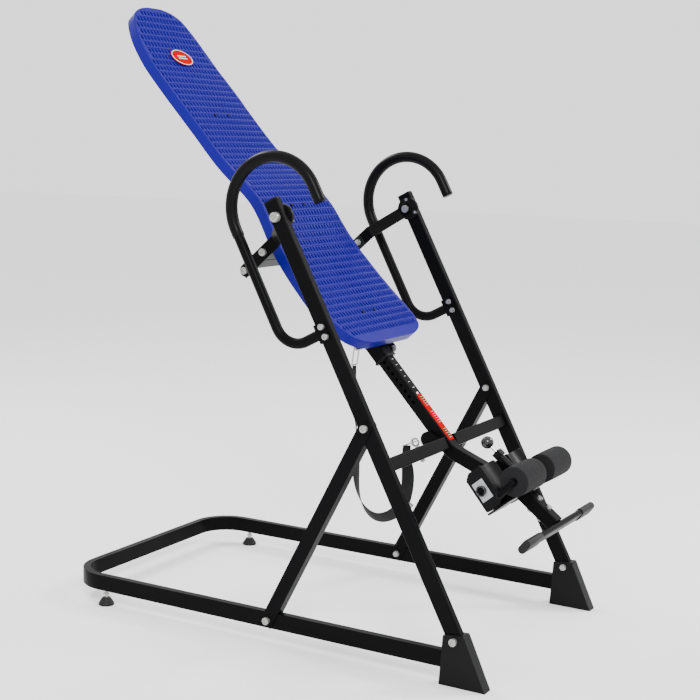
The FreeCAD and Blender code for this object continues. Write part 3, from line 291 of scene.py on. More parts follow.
# %% Group: smears and settled dust
def make_dust_group():
    group, source, sink = new_group(
        "smears_and_dust",
        [("Vector", "NodeSocketVector", None), ("Scale", "NodeSocketFloat", 9.0)],
        [("Smear", "NodeSocketFloat"), ("Dust", "NodeSocketFloat")])
    broad = add(group, "ShaderNodeTexNoise", Detail=5.0, Roughness=0.6)
    group.links.new(source.outputs["Vector"], broad.inputs["Vector"])
    group.links.new(source.outputs["Scale"], broad.inputs["Scale"])
    group.links.new(to_range(group, broad.outputs["Fac"], 0.42, 0.72, 0.0, 1.0), sink.inputs["Smear"])
    normal = add(group, "ShaderNodeNewGeometry")
    split = add(group, "ShaderNodeSeparateXYZ")
    group.links.new(normal.outputs["Normal"], split.inputs["Vector"])
    facing_up = to_range(group, split.outputs["Z"], 0.3, 1.0, 0.0, 1.0)
    both = add(group, "ShaderNodeMath", operation="MULTIPLY")
    group.links.new(facing_up, both.inputs[0])
    group.links.new(broad.outputs["Fac"], both.inputs[1])
    group.links.new(both.outputs["Value"], sink.inputs["Dust"])
    return group


DUST = make_dust_group()
print("shared effects:", GRAIN.name, DUST.name)

# %% [markdown]
# Each finish below places those groups in its own material. Constants such as the coat's own
# roughness sit on the shader itself.

# %% Helper: a finish with grain and smears
def finish(name, colour, pale, rough, rough_worn, grain_scale, bump, grain_distance=0.0002, metallic=0.0,
           coat=0.0, coat_roughness=0.1, sheen=0.0, dust=0.35, specular=0.5):
    material = bpy.data.materials.new(name)
    material.use_nodes = True
    tree = material.node_tree
    shader = tree.nodes["Principled BSDF"]
    where = add(tree, "ShaderNodeTexCoord").outputs["Object"]
    grain = add(tree, "ShaderNodeGroup", node_tree=GRAIN)
    grain.inputs["Scale"].default_value = grain_scale
    smears = add(tree, "ShaderNodeGroup", node_tree=DUST)
    for group in (grain, smears):
        tree.links.new(where, group.inputs["Vector"])
    worn = mix_colours(tree, grain.outputs["Mask"], (*colour, 1), (*pale, 1))
    dusty = add(tree, "ShaderNodeMath", operation="MULTIPLY")
    tree.links.new(smears.outputs["Dust"], dusty.inputs[0])
    dusty.inputs[1].default_value = dust * 0.1
    tree.links.new(mix_colours(tree, dusty.outputs["Value"], worn, (0.6, 0.58, 0.55, 1)), shader.inputs["Base Color"])
    tree.links.new(to_range(tree, smears.outputs["Smear"], 0.0, 1.0, rough, rough_worn), shader.inputs["Roughness"])
    relief = add(tree, "ShaderNodeBump", Strength=bump, Distance=grain_distance)
    tree.links.new(grain.outputs["Height"], relief.inputs["Height"])
    tree.links.new(relief.outputs["Normal"], shader.inputs["Normal"])
    shader.inputs["Metallic"].default_value = metallic
    shader.inputs["Coat Weight"].default_value = coat
    shader.inputs["Coat Roughness"].default_value = coat_roughness
    shader.inputs["Sheen Weight"].default_value = sheen
    shader.inputs["Specular IOR Level"].default_value = specular
    return material


# %% Painted and plated metal
BLACK_PAINT = finish("black_powder_coat", (0.002, 0.002, 0.0023), (0.004, 0.004, 0.0045), 0.3, 0.42, 900, 0.05,
                     specular=0.03, dust=0.01)
GREY_PAINT = finish("grey_powder_coat", (0.007, 0.009, 0.0095), (0.011, 0.014, 0.0145), 0.3, 0.42, 900, 0.08,
                    specular=0.06, dust=0.01)
ZINC = finish("zinc_plate", (0.26, 0.26, 0.255), (0.36, 0.36, 0.35), 0.16, 0.3, 500, 0.1, metallic=0.6, dust=0.05)
CHROME = finish("bright_rod", (0.7, 0.7, 0.7), (0.8, 0.8, 0.8), 0.1, 0.2, 300, 0.03, metallic=1.0, dust=0.1)

# %% Plastics and rubber
BLUE_PLASTIC = finish("blue_moulded_shell", (0.0075, 0.0025, 0.15), (0.0105, 0.0035, 0.185), 0.34, 0.45, 700, 0.1,
                      specular=0.07, dust=0.005)
BLACK_PLASTIC = finish("black_moulded_plastic", (0.003, 0.003, 0.0034), (0.007, 0.007, 0.0076), 0.3, 0.45, 1100, 0.25,
                       specular=0.07, dust=0.02)
GLOSS_KNOB = finish("polished_knob", (0.004, 0.004, 0.005), (0.006, 0.006, 0.007), 0.08, 0.15, 300, 0.02, coat=0.2,
                    coat_roughness=0.05, dust=0.02)
RUBBER = finish("black_rubber", (0.006, 0.006, 0.006), (0.014, 0.014, 0.014), 0.5, 0.7, 800, 0.4, specular=0.15,
                dust=0.1)
GRIP_VINYL = finish("grip_vinyl", (0.0022, 0.0022, 0.0024), (0.0045, 0.0045, 0.005), 0.28, 0.42, 1200, 0.25,
                    specular=0.06, dust=0.01)
GREY_INSERT = finish("pale_insert", (0.3, 0.31, 0.33), (0.36, 0.37, 0.39), 0.4, 0.55, 600, 0.2, dust=0.1)
RED_LABEL = finish("red_label", (0.35, 0.001, 0.002), (0.39, 0.002, 0.003), 0.5, 0.6, 300, 0.05, specular=0.0,
                   dust=0.01)
PALE_MARK = finish("pale_mark", (0.62, 0.62, 0.62), (0.7, 0.7, 0.7), 0.4, 0.5, 300, 0.05, dust=0.2)
print("finishes so far:", len(bpy.data.materials))

# %% [markdown]
# Foam is matt because its surface is made of torn cells. Two sizes of cell are pressed in as
# bumps, and a soft sheen lifts its edges.

# %% Foam
def make_foam(name, colour, pale, cell):
    material = bpy.data.materials.new(name)
    material.use_nodes = True
    tree = material.node_tree
    shader = tree.nodes["Principled BSDF"]
    where = add(tree, "ShaderNodeTexCoord").outputs["Object"]
    cells = add(tree, "ShaderNodeTexVoronoi", Scale=cell)
    tree.links.new(where, cells.inputs["Vector"])
    grain = add(tree, "ShaderNodeGroup", node_tree=GRAIN)
    grain.inputs["Scale"].default_value = cell * 0.35
    tree.links.new(where, grain.inputs["Vector"])
    pits = to_range(tree, cells.outputs["Distance"], 0.0, 0.6, 0.0, 1.0)
    tree.links.new(mix_colours(tree, pits, (*colour, 1), (*pale, 1)), shader.inputs["Base Color"])
    height = add(tree, "ShaderNodeMath", operation="ADD")
    tree.links.new(pits, height.inputs[0])
    tree.links.new(grain.outputs["Height"], height.inputs[1])
    relief = add(tree, "ShaderNodeBump", Strength=0.6, Distance=0.0005)
    tree.links.new(height.outputs["Value"], relief.inputs["Height"])
    tree.links.new(relief.outputs["Normal"], shader.inputs["Normal"])
    tree.links.new(to_range(tree, grain.outputs["Mask"], 0.0, 1.0, 0.82, 0.96), shader.inputs["Roughness"])
    shader.inputs["Sheen Weight"].default_value = 0.02
    shader.inputs["Sheen Roughness"].default_value = 0.5
    shader.inputs["Specular IOR Level"].default_value = 0.12
    return material


FOAM = make_foam("black_foam", (0.003, 0.003, 0.0034), (0.011, 0.011, 0.012), 700)

# %% [markdown]
# Webbing is woven flat from thick yarns. The weave follows the strap, so it reads the strap's own
# UV map, where U runs across the strap and V along it, both in metres.

# %% Webbing
def make_webbing():
    material = bpy.data.materials.new("black_webbing")
    material.use_nodes = True
    tree = material.node_tree
    shader = tree.nodes["Principled BSDF"]
    uv = add(tree, "ShaderNodeUVMap")
    uv.uv_map = "weave"
    across = add(tree, "ShaderNodeTexWave", Scale=140.0, Distortion=0.4)
    across.bands_direction = "X"
    along = add(tree, "ShaderNodeTexWave", Scale=110.0, Distortion=0.4)
    along.bands_direction = "Y"
    for wave in (across, along):
        tree.links.new(uv.outputs["UV"], wave.inputs["Vector"])
    woven = add(tree, "ShaderNodeMath", operation="MULTIPLY")
    tree.links.new(across.outputs["Fac"], woven.inputs[0])
    tree.links.new(along.outputs["Fac"], woven.inputs[1])
    tree.links.new(mix_colours(tree, woven.outputs["Value"], (0.004, 0.004, 0.0046, 1), (0.013, 0.013, 0.0145, 1)),
                   shader.inputs["Base Color"])
    tree.links.new(to_range(tree, woven.outputs["Value"], 0.0, 1.0, 0.75, 0.55), shader.inputs["Roughness"])
    relief = add(tree, "ShaderNodeBump", Strength=0.5, Distance=0.0004)
    tree.links.new(woven.outputs["Value"], relief.inputs["Height"])
    tree.links.new(relief.outputs["Normal"], shader.inputs["Normal"])
    shader.inputs["Sheen Weight"].default_value = 0.03
    shader.inputs["Specular IOR Level"].default_value = 0.15
    return material


WEBBING = make_webbing()


def paint(piece, *materials):
    piece.data.materials.clear()
    for material in materials:
        piece.data.materials.append(material)
    return piece


# %% [markdown]
# ## Tether strap
#
# The strap limits how far the bed can tip. It hangs from a wire clip under the bed, sags in a loop
# and comes back up to an eye bolt on the crossbar. It is a flat band, so it is a thin rectangle
# that follows a smooth line. The line is a NURBS curve through the same route as the engineering
# model's plain round strap.

# %% The strap's route
STRAP_ROUTE = [(-60, 434, 652), (-62, 431, 602), (-66, 424, 548), (-70, 419, 492), (-75, 413, 436),
               (-81, 411, 382), (-90, 399, 334), (-103, 371, 299), (-117, 328, 286), (-130, 281, 303),
               (-140, 244, 338), (-145, 231, 381), (-147, 229, 424), (-148, 237, 460), (-148, 234, 489)]
STRAP_WIDTH = 30 * MM
STRAP_THICKNESS = 1.6 * MM
STRAP_END_WIDTH = 19 * MM
GATHERED_SHARE = 0.12
STRAP_TURNS = [(0.0, 0), (0.15, -50), (0.38, 5), (0.62, -60), (1.0, -60)]    # share of the run, degrees


def smooth_line(route):
    """Points along the NURBS curve whose control points are the route, in metres."""
    curve = bpy.data.curves.new("strap_line", "CURVE")
    curve.dimensions = "3D"
    spline = curve.splines.new("NURBS")
    spline.points.add(len(route) - 1)
    for control, (x, y, z) in zip(spline.points, route):
        control.co = (x * MM, *at(y, z), 1.0)
    spline.order_u = 3
    spline.use_endpoint_u = True
    spline.resolution_u = 8
    line = bpy.data.objects.new("strap_line", curve)
    bpy.context.collection.objects.link(line)
    bpy.context.view_layer.update()
    mesh = bpy.data.meshes.new_from_object(line)
    points = np.array([vertex.co for vertex in mesh.vertices])
    bpy.data.objects.remove(line)
    bpy.data.meshes.remove(mesh)
    return points


strap_points = smooth_line(STRAP_ROUTE)

# %% [markdown]
# The band is sewn on with its wide side across the table. It twists a little as it hangs, and has
# turned a sixth of a circle before it reaches the buckle, as webbing does when its two ends are held
# at different angles. At both ends
# it is gathered narrower, to pass through its wire loop. Each station of the band is a ring of ten
# points, with softly rounded edges, turned about the band's own run.

# %% The strap's band
def ease(share):
    """A smooth rise from 0 to 1, level at both ends."""
    share = min(1.0, max(0.0, share))
    return share * share * (3 - 2 * share)


def strap_turn(share):
    """How far the band has turned about its own run, eased from each stated turn to the next."""
    for (start, before), (end, after) in zip(STRAP_TURNS, STRAP_TURNS[1:]):
        if share <= end:
            return math.radians(before + (after - before) * ease((share - start) / (end - start)))
    return math.radians(STRAP_TURNS[-1][1])


def make_strap(points):
    tangents = np.gradient(points, axis=0)
    tangents /= np.linalg.norm(tangents, axis=1)[:, None]
    half, thin = STRAP_WIDTH / 2, STRAP_THICKNESS / 2
    gathered = STRAP_END_WIDTH / STRAP_WIDTH
    ring = [(-half, -thin * 0.5), (-half + thin, -thin), (0, -thin), (half - thin, -thin), (half, -thin * 0.5),
            (half, thin * 0.5), (half - thin, thin), (0, thin), (-half + thin, thin), (-half, thin * 0.5)]
    size = len(ring)
    bpy.ops.mesh.primitive_grid_add(x_subdivisions=size, y_subdivisions=len(points) - 1, size=1)
    strap = named("tether_webbing")
    columns = size + 1
    run = np.concatenate([[0.0], np.cumsum(np.linalg.norm(np.diff(points, axis=0), axis=1))])
    uv = strap.data.uv_layers.new(name="weave")
    for row, (centre, tangent) in enumerate(zip(points, tangents)):
        share = run[row] / run[-1]
        turn = strap_turn(share)
        width = gathered + (1 - gathered) * ease(min(share, 1 - share) / GATHERED_SHARE)
        level = np.array([1.0, 0.0, 0.0]) - tangent * tangent[0]
        level /= np.linalg.norm(level)
        square = np.cross(tangent, level)
        wide = level * math.cos(turn) + square * math.sin(turn)
        face = np.cross(tangent, wide)
        for column in range(columns):
            across, through = ring[column % size]
            strap.data.vertices[row * columns + column].co = centre + wide * across * width + face * through
    for loop in strap.data.loops:
        row, column = divmod(loop.vertex_index, columns)
        uv.data[loop.index].uv = (ring[column % size][0], run[row])
    strap.data.uv_layers.active = uv
    take(strap)
    bpy.ops.object.mode_set(mode="EDIT")
    bpy.ops.mesh.select_all(action="SELECT")
    bpy.ops.mesh.remove_doubles(threshold=0.00002)
    bpy.ops.mesh.select_all(action="DESELECT")
    bpy.ops.mesh.select_mode(type="EDGE")
    bpy.ops.mesh.select_non_manifold(extend=False, use_wire=False, use_multi_face=False, use_non_contiguous=False,
                                     use_verts=False)
    bpy.ops.mesh.edge_face_add()
    back_to_object()
    return smooth(outward(strap), 50)


strap = paint(make_strap(strap_points), WEBBING)
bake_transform(strap)
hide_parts("tether_strap")
print("strap faces:", len(strap.data.polygons))

# %% [markdown]
# ## Backrest
#
# The backrest is one injection moulding: a curved face full of slots, with a skirt round its edge.
# A grid of quads has a line at each side of every slot. The cells of the slots are deleted, the
# rest is bent to the face's curve, the edge is extruded into the skirt and the sheet gets its
# thickness, which is deep round the slots, as a lattice of moulded ribs is. One subdivision then
# rounds every slot.

# %% The backrest's outline and curve
BOARD_BOTTOM, BOARD_TOP = 34.0, 1165.0
BOARD_OUTLINE = [(34, 0), (37, 120), (60, 172), (115, 196), (260, 193), (420, 174), (560, 157), (720, 146),
                 (900, 148), (1010, 143), (1090, 126), (1142, 94), (1165, 0)]


def through(points, steps=24):
    """A smooth line through the points, which is mirrored past both ends."""
    points = np.array(points, float)
    mirror = np.array([1.0, -1.0])
    padded = np.vstack([points[1] * mirror, points, points[-2] * mirror])
    line = []
    for p0, p1, p2, p3 in zip(padded, padded[1:], padded[2:], padded[3:]):
        spans = [np.linalg.norm(b - a) ** 0.5 for a, b in ((p0, p1), (p1, p2), (p2, p3))]
        m1 = (p2 - p1) + spans[1] * ((p1 - p0) / spans[0] - (p2 - p0) / (spans[0] + spans[1]))
        m2 = (p2 - p1) + spans[1] * ((p3 - p2) / spans[2] - (p3 - p1) / (spans[1] + spans[2]))
        for t in np.linspace(0, 1, steps, endpoint=False):
            line.append((2 * t ** 3 - 3 * t ** 2 + 1) * p1 + (t ** 3 - 2 * t ** 2 + t) * m1
                        + (3 * t ** 2 - 2 * t ** 3) * p2 + (t ** 3 - t ** 2) * m2)
    return np.array(line + [points[-1]])


outline = through(BOARD_OUTLINE)


def half_width(s):
    return float(np.interp(s, outline[:, 0], outline[:, 1]))


def face_height(s):
    """How far the face stands over the boom's middle line."""
    lumbar = 25.0 * math.exp(-((s - 492.0) / 105.0) ** 2)
    seat = 20.0 * math.exp(-((s - 14.0) / 110.0) ** 2)
    head = 24.0 * max(0.0, (s - 960.0) / 200.0) ** 1.7
    return 37.5 + lumbar + seat + head


print("backrest half width at the seat and the waist:", round(half_width(160), 1), round(half_width(720), 1))

# %% Where the slots are
SLOT_WIDTH, SLOT_PITCH, SLOT_COLUMNS = 7.0, 14.0, 28
SLOT_LENGTH, ROW_PITCH, SLOT_ROWS = 13.0, 20.6, 53
FIRST_ROW = 66.0
SLOT_MARGIN = 8.0


def lines_across():
    lines = [-200.0]
    for column in range(SLOT_COLUMNS):
        centre = (column - (SLOT_COLUMNS - 1) / 2) * SLOT_PITCH
        lines += [centre - SLOT_WIDTH / 2, centre + SLOT_WIDTH / 2]
    return lines + [200.0]


def lines_along():
    lines = [34.6, 36.0, 39.0, 44.0, 51.0, 59.0]
    for row in range(SLOT_ROWS):
        lines += [FIRST_ROW + row * ROW_PITCH, FIRST_ROW + row * ROW_PITCH + SLOT_LENGTH]
    return lines + [1155.0, 1160.0, 1163.5]


ACROSS, ALONG = lines_across(), lines_along()
print("grid of", len(ACROSS), "by", len(ALONG), "lines")

# %% The flat grid, cut to the outline
def board_grid():
    bpy.ops.mesh.primitive_grid_add(x_subdivisions=len(ACROSS) - 1, y_subdivisions=len(ALONG) - 1, size=1)
    board = named("backrest")
    for index, vertex in enumerate(board.data.vertices):
        row, column = divmod(index, len(ACROSS))
        limit = half_width(ALONG[row])
        x = ACROSS[column]
        if abs(x) > limit - 4.0:
            x = math.copysign(limit, x)
        vertex.co = (x, ALONG[row], 0)
    take(board)
    bpy.ops.object.mode_set(mode="EDIT")
    bpy.ops.mesh.select_all(action="SELECT")
    bpy.ops.mesh.remove_doubles(threshold=0.05)
    bpy.ops.mesh.dissolve_degenerate(threshold=0.05)
    back_to_object()
    return board


def is_slot(centre, normal):
    column = (centre.x / SLOT_PITCH) + (SLOT_COLUMNS - 1) / 2
    row = (centre.y - FIRST_ROW - SLOT_LENGTH / 2) / ROW_PITCH
    if abs(column - round(column)) > 0.05 or abs(row - round(row)) > 0.05:
        return False
    if not (0 <= round(row) < SLOT_ROWS and 0 <= round(column) < SLOT_COLUMNS):
        return False
    ends = (half_width(centre.y - SLOT_LENGTH / 2), half_width(centre.y + SLOT_LENGTH / 2))
    under_badge = math.hypot(centre.x / 38.0, (centre.y - 1000.0) / 24.0) < 1.0
    return abs(centre.x) + SLOT_WIDTH / 2 < min(ends) - SLOT_MARGIN and not under_badge


board = board_grid()
choose_faces(board, is_slot)
bpy.ops.mesh.delete(type="FACE")
back_to_object()
print("faces left between the slots:", len(board.data.polygons))

# %% [markdown]
# The skirt goes straight down from the rim in four steps. The first is short, which leaves a rounded
# corner after the subdivision.

# %% Skirt, curve and thickness
SKIRT = 28.0


def rim_edges(board):
    """Selects the edges on the outline only, not those round the slots."""
    take(board)
    bpy.ops.object.mode_set(mode="EDIT")
    bpy.ops.mesh.select_mode(type="EDGE")
    bpy.ops.mesh.select_all(action="DESELECT")
    bpy.ops.mesh.select_non_manifold(extend=False, use_wire=False, use_multi_face=False, use_non_contiguous=False,
                                     use_verts=False)
    back_to_object()
    mesh = board.data

    def on_outline(index):
        place = mesh.vertices[index].co
        return abs(abs(place.x) - half_width(place.y)) < 0.2 or place.y < 35.0 or place.y > 1163.0

    for edge in mesh.edges:
        edge.select = edge.select and all(on_outline(i) for i in edge.vertices)
    bpy.ops.object.mode_set(mode="EDIT")


def add_skirt(board):
    for depth in (2.5, 8.0, SKIRT - 12.0, 1.5):
        if depth == 2.5:
            rim_edges(board)
        bpy.ops.mesh.extrude_region_move(TRANSFORM_OT_translate={"value": (0, 0, -depth)})
    back_to_object()


def bend_board(board):
    for vertex in board.data.vertices:
        x, s, lift = vertex.co
        y, z = on_boom(s, face_height(s) + lift)
        vertex.co = (x * MM, y, z)


add_skirt(board)
bend_board(board)
outward(board)
modify(board, "SOLIDIFY", thickness=8.0 * MM, offset=-1.0, use_quality_normals=True)
modify(board, "SUBSURF", levels=1, render_levels=1)
smooth(board, 40)
triangles = sum(len(face.vertices) - 2 for face in board.data.polygons)
print("backrest triangles:", triangles)

# %% [markdown]
# Between the rows of slots the face has low half-round ribs. They catch the light as pale lines,
# and they keep the user from sliding. One rib is modelled and copied to each row.

# %% Ribs across the face
def make_ribs():
    ribs = []
    for row in range(SLOT_ROWS - 1):
        s = FIRST_ROW + row * ROW_PITCH + SLOT_LENGTH + (ROW_PITCH - SLOT_LENGTH) / 2
        reach = (half_width(s) - 9.0) * MM
        y, z = on_boom(s, face_height(s) - 0.9)
        bpy.ops.mesh.primitive_cylinder_add(vertices=12, radius=2.3 * MM, depth=2 * reach, location=(0, y, z),
                                            rotation=(0, math.pi / 2, 0), end_fill_type="TRIFAN")
        rib = named("rib")
        tip = max(vertex.co.x for vertex in rib.data.vertices)
        for vertex in rib.data.vertices:
            along = (vertex.co.y - y) * math.cos(BOOM_ANGLE) + (vertex.co.z - z) * math.sin(BOOM_ANGLE)
            vertex.co.y += along * 0.25 * math.cos(BOOM_ANGLE)
            vertex.co.z += along * 0.25 * math.sin(BOOM_ANGLE)
        choose_faces(rib, lambda centre, normal: abs(normal.x) > 0.9)
        bpy.ops.mesh.extrude_region_move(TRANSFORM_OT_translate={"value": (0, 0, 0)})
        bpy.ops.transform.resize(value=(1 + 4 * MM / tip, 0.55, 0.55), center_override=(0, y, z))
        back_to_object()
        ribs.append(rib)
    return smooth(join("backrest_ribs", ribs), 60)


ribs = make_ribs()
for piece in (board, ribs):
    paint(piece, BLUE_PLASTIC)
    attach(piece, "bed")
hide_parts("backrest_shell")
print("ribs:", len(ribs.data.polygons), "faces")

# %% [markdown]
# ## Foam rollers
#
# Each roller is a thick foam sleeve. Its ends are cut square and softened by use, and its bore
# shows at the outer end. A ring of faces is extruded along the axis, so the sleeve can be a
# little barrel shaped, as foam is.

# %% One foam roller
def foam_sleeve(name, centre, x_near, x_far, radius, bore, barrel):
    """Foam sleeve along X with rounded ends, a bore and a slight barrel shape."""
    y, z = centre
    length = x_far - x_near
    bpy.ops.mesh.primitive_cylinder_add(vertices=64, radius=radius, depth=length, location=((x_near + x_far) / 2, y, z),
                                        rotation=(0, math.pi / 2, 0))
    sleeve = named(name)
    choose_faces(sleeve, lambda c, n: abs(n.x) > 0.9)
    bpy.ops.mesh.inset(thickness=radius * 0.18)
    bpy.ops.mesh.inset(thickness=radius - radius * 0.18 - bore - 1.5 * MM)
    bpy.ops.mesh.inset(thickness=1.5 * MM)
    bpy.ops.mesh.bridge_edge_loops()
    back_to_object()
    choose_faces(sleeve, lambda c, n: abs(n.x) < 0.5 and math.hypot(c.y - y, c.z - z) > radius * 0.9)
    back_to_object()
    modify(sleeve, "BEVEL", width=radius * 0.13, segments=5, limit_method="ANGLE", angle_limit=math.radians(60))
    take(sleeve)
    bpy.ops.object.mode_set(mode="EDIT")
    bpy.ops.mesh.select_all(action="SELECT")
    for cut in range(1, 12):
        bpy.ops.mesh.select_all(action="SELECT")
        bpy.ops.mesh.bisect(plane_co=(x_near + length * cut / 12, y, z), plane_no=(1, 0, 0))
    back_to_object()
    for vertex in sleeve.data.vertices:
        share = (vertex.co.x - x_near) / length * 2 - 1
        swell = 1 + barrel * (1 - share ** 2)
        reach = math.hypot(vertex.co.y - y, vertex.co.z - z)
        if reach > radius * 0.8:
            vertex.co.y = y + (vertex.co.y - y) * swell
            vertex.co.z = z + (vertex.co.z - z) * swell
    return smooth(outward(sleeve), 45)


for side, near, far in (("left", -140, -25), ("right", 25, 140)):
    roller = foam_sleeve("foam_roller_sleeve_" + side, ROLLER_AXIS, near * MM, far * MM, 35.6 * MM, 8.6 * MM, 0.012)
    paint(roller, FOAM)
    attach(roller, "roller_" + side)
    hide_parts("foam_roller_" + side)
print("roller vertices:", len(roller.data.vertices))

# %% [markdown]
# ## Round tubes that bend
#
# The handle grips and the ends of the roller axle follow curves. Here a circle is swept along a
# line of straight runs and arcs. The curve object does the sweep, and it is made a mesh after.

# %% Helper: a round tube along a path
def tube_along(name, path, radius, taper=None, sides=24):
    """Sweeps a circle along the points and closes both ends with flat caps."""
    curve = bpy.data.curves.new(name, "CURVE")
    curve.dimensions = "3D"
    curve.bevel_depth = radius
    curve.bevel_resolution = sides // 4 - 1
    curve.use_fill_caps = True
    spline = curve.splines.new("POLY")
    spline.points.add(len(path) - 1)
    for index, (control, place) in enumerate(zip(spline.points, path)):
        control.co = (*place, 1.0)
        if taper is not None:
            control.radius = taper(index / (len(path) - 1))
    tube = bpy.data.objects.new(name, curve)
    bpy.context.collection.objects.link(tube)
    take(tube)
    bpy.ops.object.convert(target="MESH")
    tube = named(name)
    bpy.ops.object.mode_set(mode="EDIT")
    bpy.ops.mesh.select_all(action="SELECT")
    bpy.ops.mesh.remove_doubles(threshold=0.00005)
    back_to_object()
    return smooth(outward(tube), 45)


def arc_points(centre, start, end, x, steps):
    """Points at x on the shorter arc between two (y, z) places round a centre."""
    first = math.atan2(start[1] - centre[1], start[0] - centre[0])
    last = math.atan2(end[1] - centre[1], end[0] - centre[0])
    turn = (last - first + math.pi) % (2 * math.pi) - math.pi
    radius = math.dist(centre, start)
    return [(x, centre[0] + radius * math.cos(first + turn * k / steps),
             centre[1] + radius * math.sin(first + turn * k / steps)) for k in range(steps + 1)]


# %% [markdown]
# The grip is a foam tube pushed over the hook, so its two ends are cut square with a soft edge.

# %% Handle grips
HOOK_START, HOOK_RADIUS, HOOK_STRAIGHT = 1192.0, 120.0, 40.0


def hook_path(x):
    centre = on_upright(HOOK_START, 3)
    top = on_upright(HOOK_START + HOOK_RADIUS, 3)
    start, end = on_upright(HOOK_START, 123), on_upright(HOOK_START, -117)
    path = [(x, *on_upright(HOOK_START - 18, 123)), (x, *on_upright(HOOK_START - 17, 123)),
            (x, *on_upright(HOOK_START - 15, 123))]
    path += arc_points(centre, start, top, x, 20) + arc_points(centre, top, end, x, 20)[1:]
    for down in (12, 24, 34, 39, 41.5, 42.2):
        path.append((x, *on_upright(HOOK_START - down, -117)))
    return path


GRIP_STATIONS = len(hook_path(0.0))


def soft_ends(share):
    """Radius of the grip at each station, drawn in at both ends."""
    station = round(share * (GRIP_STATIONS - 1))
    from_end = min(station, GRIP_STATIONS - 1 - station)
    return (0.86, 0.96, 1.0)[min(from_end, 2)]


for side, x in (("left", -SIDE_X), ("right", SIDE_X)):
    grip = tube_along("grip_sleeve_" + side, hook_path(x), 14.6 * MM, taper=soft_ends, sides=40)
    paint(grip, GRIP_VINYL)
    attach(grip, "frame")
    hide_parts("handle_grip_" + side)
print("grip stations:", GRIP_STATIONS)

# %% [markdown]
# ## Footrest sleeves
#
# A rubber sleeve is pushed over each end of the oval footrest bar. It has a rounded end and a lip
# at its mouth.

# %% One footrest sleeve, and its mirror image
POST_END = (-96.0, 311.4)
POST_ANGLE = math.atan2(377.0 - 311.4, -10.0 + 96.0)
FOOTREST = at(POST_END[0] - 8 * math.cos(POST_ANGLE), POST_END[1] - 8 * math.sin(POST_ANGLE))


def footrest_sleeve():
    y, z = FOOTREST
    bpy.ops.mesh.primitive_cylinder_add(vertices=40, radius=9.6 * MM, depth=81 * MM, location=(-168.5 * MM, y, z),
                                        rotation=(0, math.pi / 2, 0))
    sleeve = named("footrest_sleeve_left")
    across = np.array([0.0, -math.sin(POST_ANGLE), math.cos(POST_ANGLE)])
    middle = np.array([0.0, y, z])
    for vertex in sleeve.data.vertices:
        offset = np.array(vertex.co) - middle
        side = float(np.dot(offset, across))
        vertex.co = np.array(vertex.co) + across * math.copysign(9 * MM, side) * min(1.0, abs(side) / (1.5 * MM))
    choose_faces(sleeve, lambda centre, normal: normal.x > 0.9)
    bpy.ops.mesh.inset(thickness=1.9 * MM)
    bpy.ops.mesh.extrude_region_move(TRANSFORM_OT_translate={"value": (-76 * MM, 0, 0)})
    back_to_object()
    modify(sleeve, "BEVEL", width=5.5 * MM, segments=4, limit_method="ANGLE", angle_limit=math.radians(60),
           use_clamp_overlap=True)
    return smooth(outward(sleeve), 40)


sleeve_left = footrest_sleeve()
sleeve_right = copy_of(sleeve_left, "footrest_sleeve_right", mirror=True)
for sleeve in (sleeve_left, sleeve_right):
    smooth(paint(sleeve, RUBBER), 40)
    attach(sleeve, "boom")
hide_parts("footrest_grips")
print("footrest sleeve faces:", len(sleeve_left.data.polygons))

# %% [markdown]
# ## Labels
#
# The badge gets a raised rim and a plain pale bar. The strip on the boom carries rows of short bars
# where a real one has text, and there is a scale of ticks above it.

# %% Badge rim and bar
BADGE_S = 1000.0


def on_board(x, s, lift):
    y, z = on_boom(s, lift)
    return (x * MM, y, z)


BADGE_TOP = max(face_height(BADGE_S - 28), face_height(BADGE_S + 28)) + 2.6


def badge_rim():
    bpy.ops.mesh.primitive_torus_add(major_radius=27 * MM, minor_radius=0.9 * MM, major_segments=64, minor_segments=10,
                                     location=on_board(0, BADGE_S, BADGE_TOP), rotation=(BOOM_ANGLE, 0, 0))
    rim = bpy.context.object
    rim.scale = (40 / 27, 26 / 27, 0.7)
    return smooth(named("badge_rim"), 60)


def plate_on_boom(name, x0, x1, s0, s1, lift, thickness):
    """A thin plate with bevelled edges that lies along the boom or the bed."""
    bpy.ops.mesh.primitive_cube_add(size=1, location=on_board((x0 + x1) / 2, (s0 + s1) / 2, lift + thickness / 2),
                                    rotation=(BOOM_ANGLE, 0, 0))
    plate = bpy.context.object
    plate.scale = ((x1 - x0) * MM, (s1 - s0) * MM, thickness * MM)
    named(name)
    return modify(plate, "BEVEL", width=min(0.3, thickness * 0.4) * MM, segments=2)


rim = badge_rim()
bars = join("badge_bars", [plate_on_boom("bar", -18, 18, BADGE_S + offset - 1.6, BADGE_S + offset + 1.6, BADGE_TOP - 0.1, 0.7)
                           for offset in (-4, 4)])
for piece in (rim, bars):
    paint(piece, PALE_MARK)
    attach(piece, "bed")

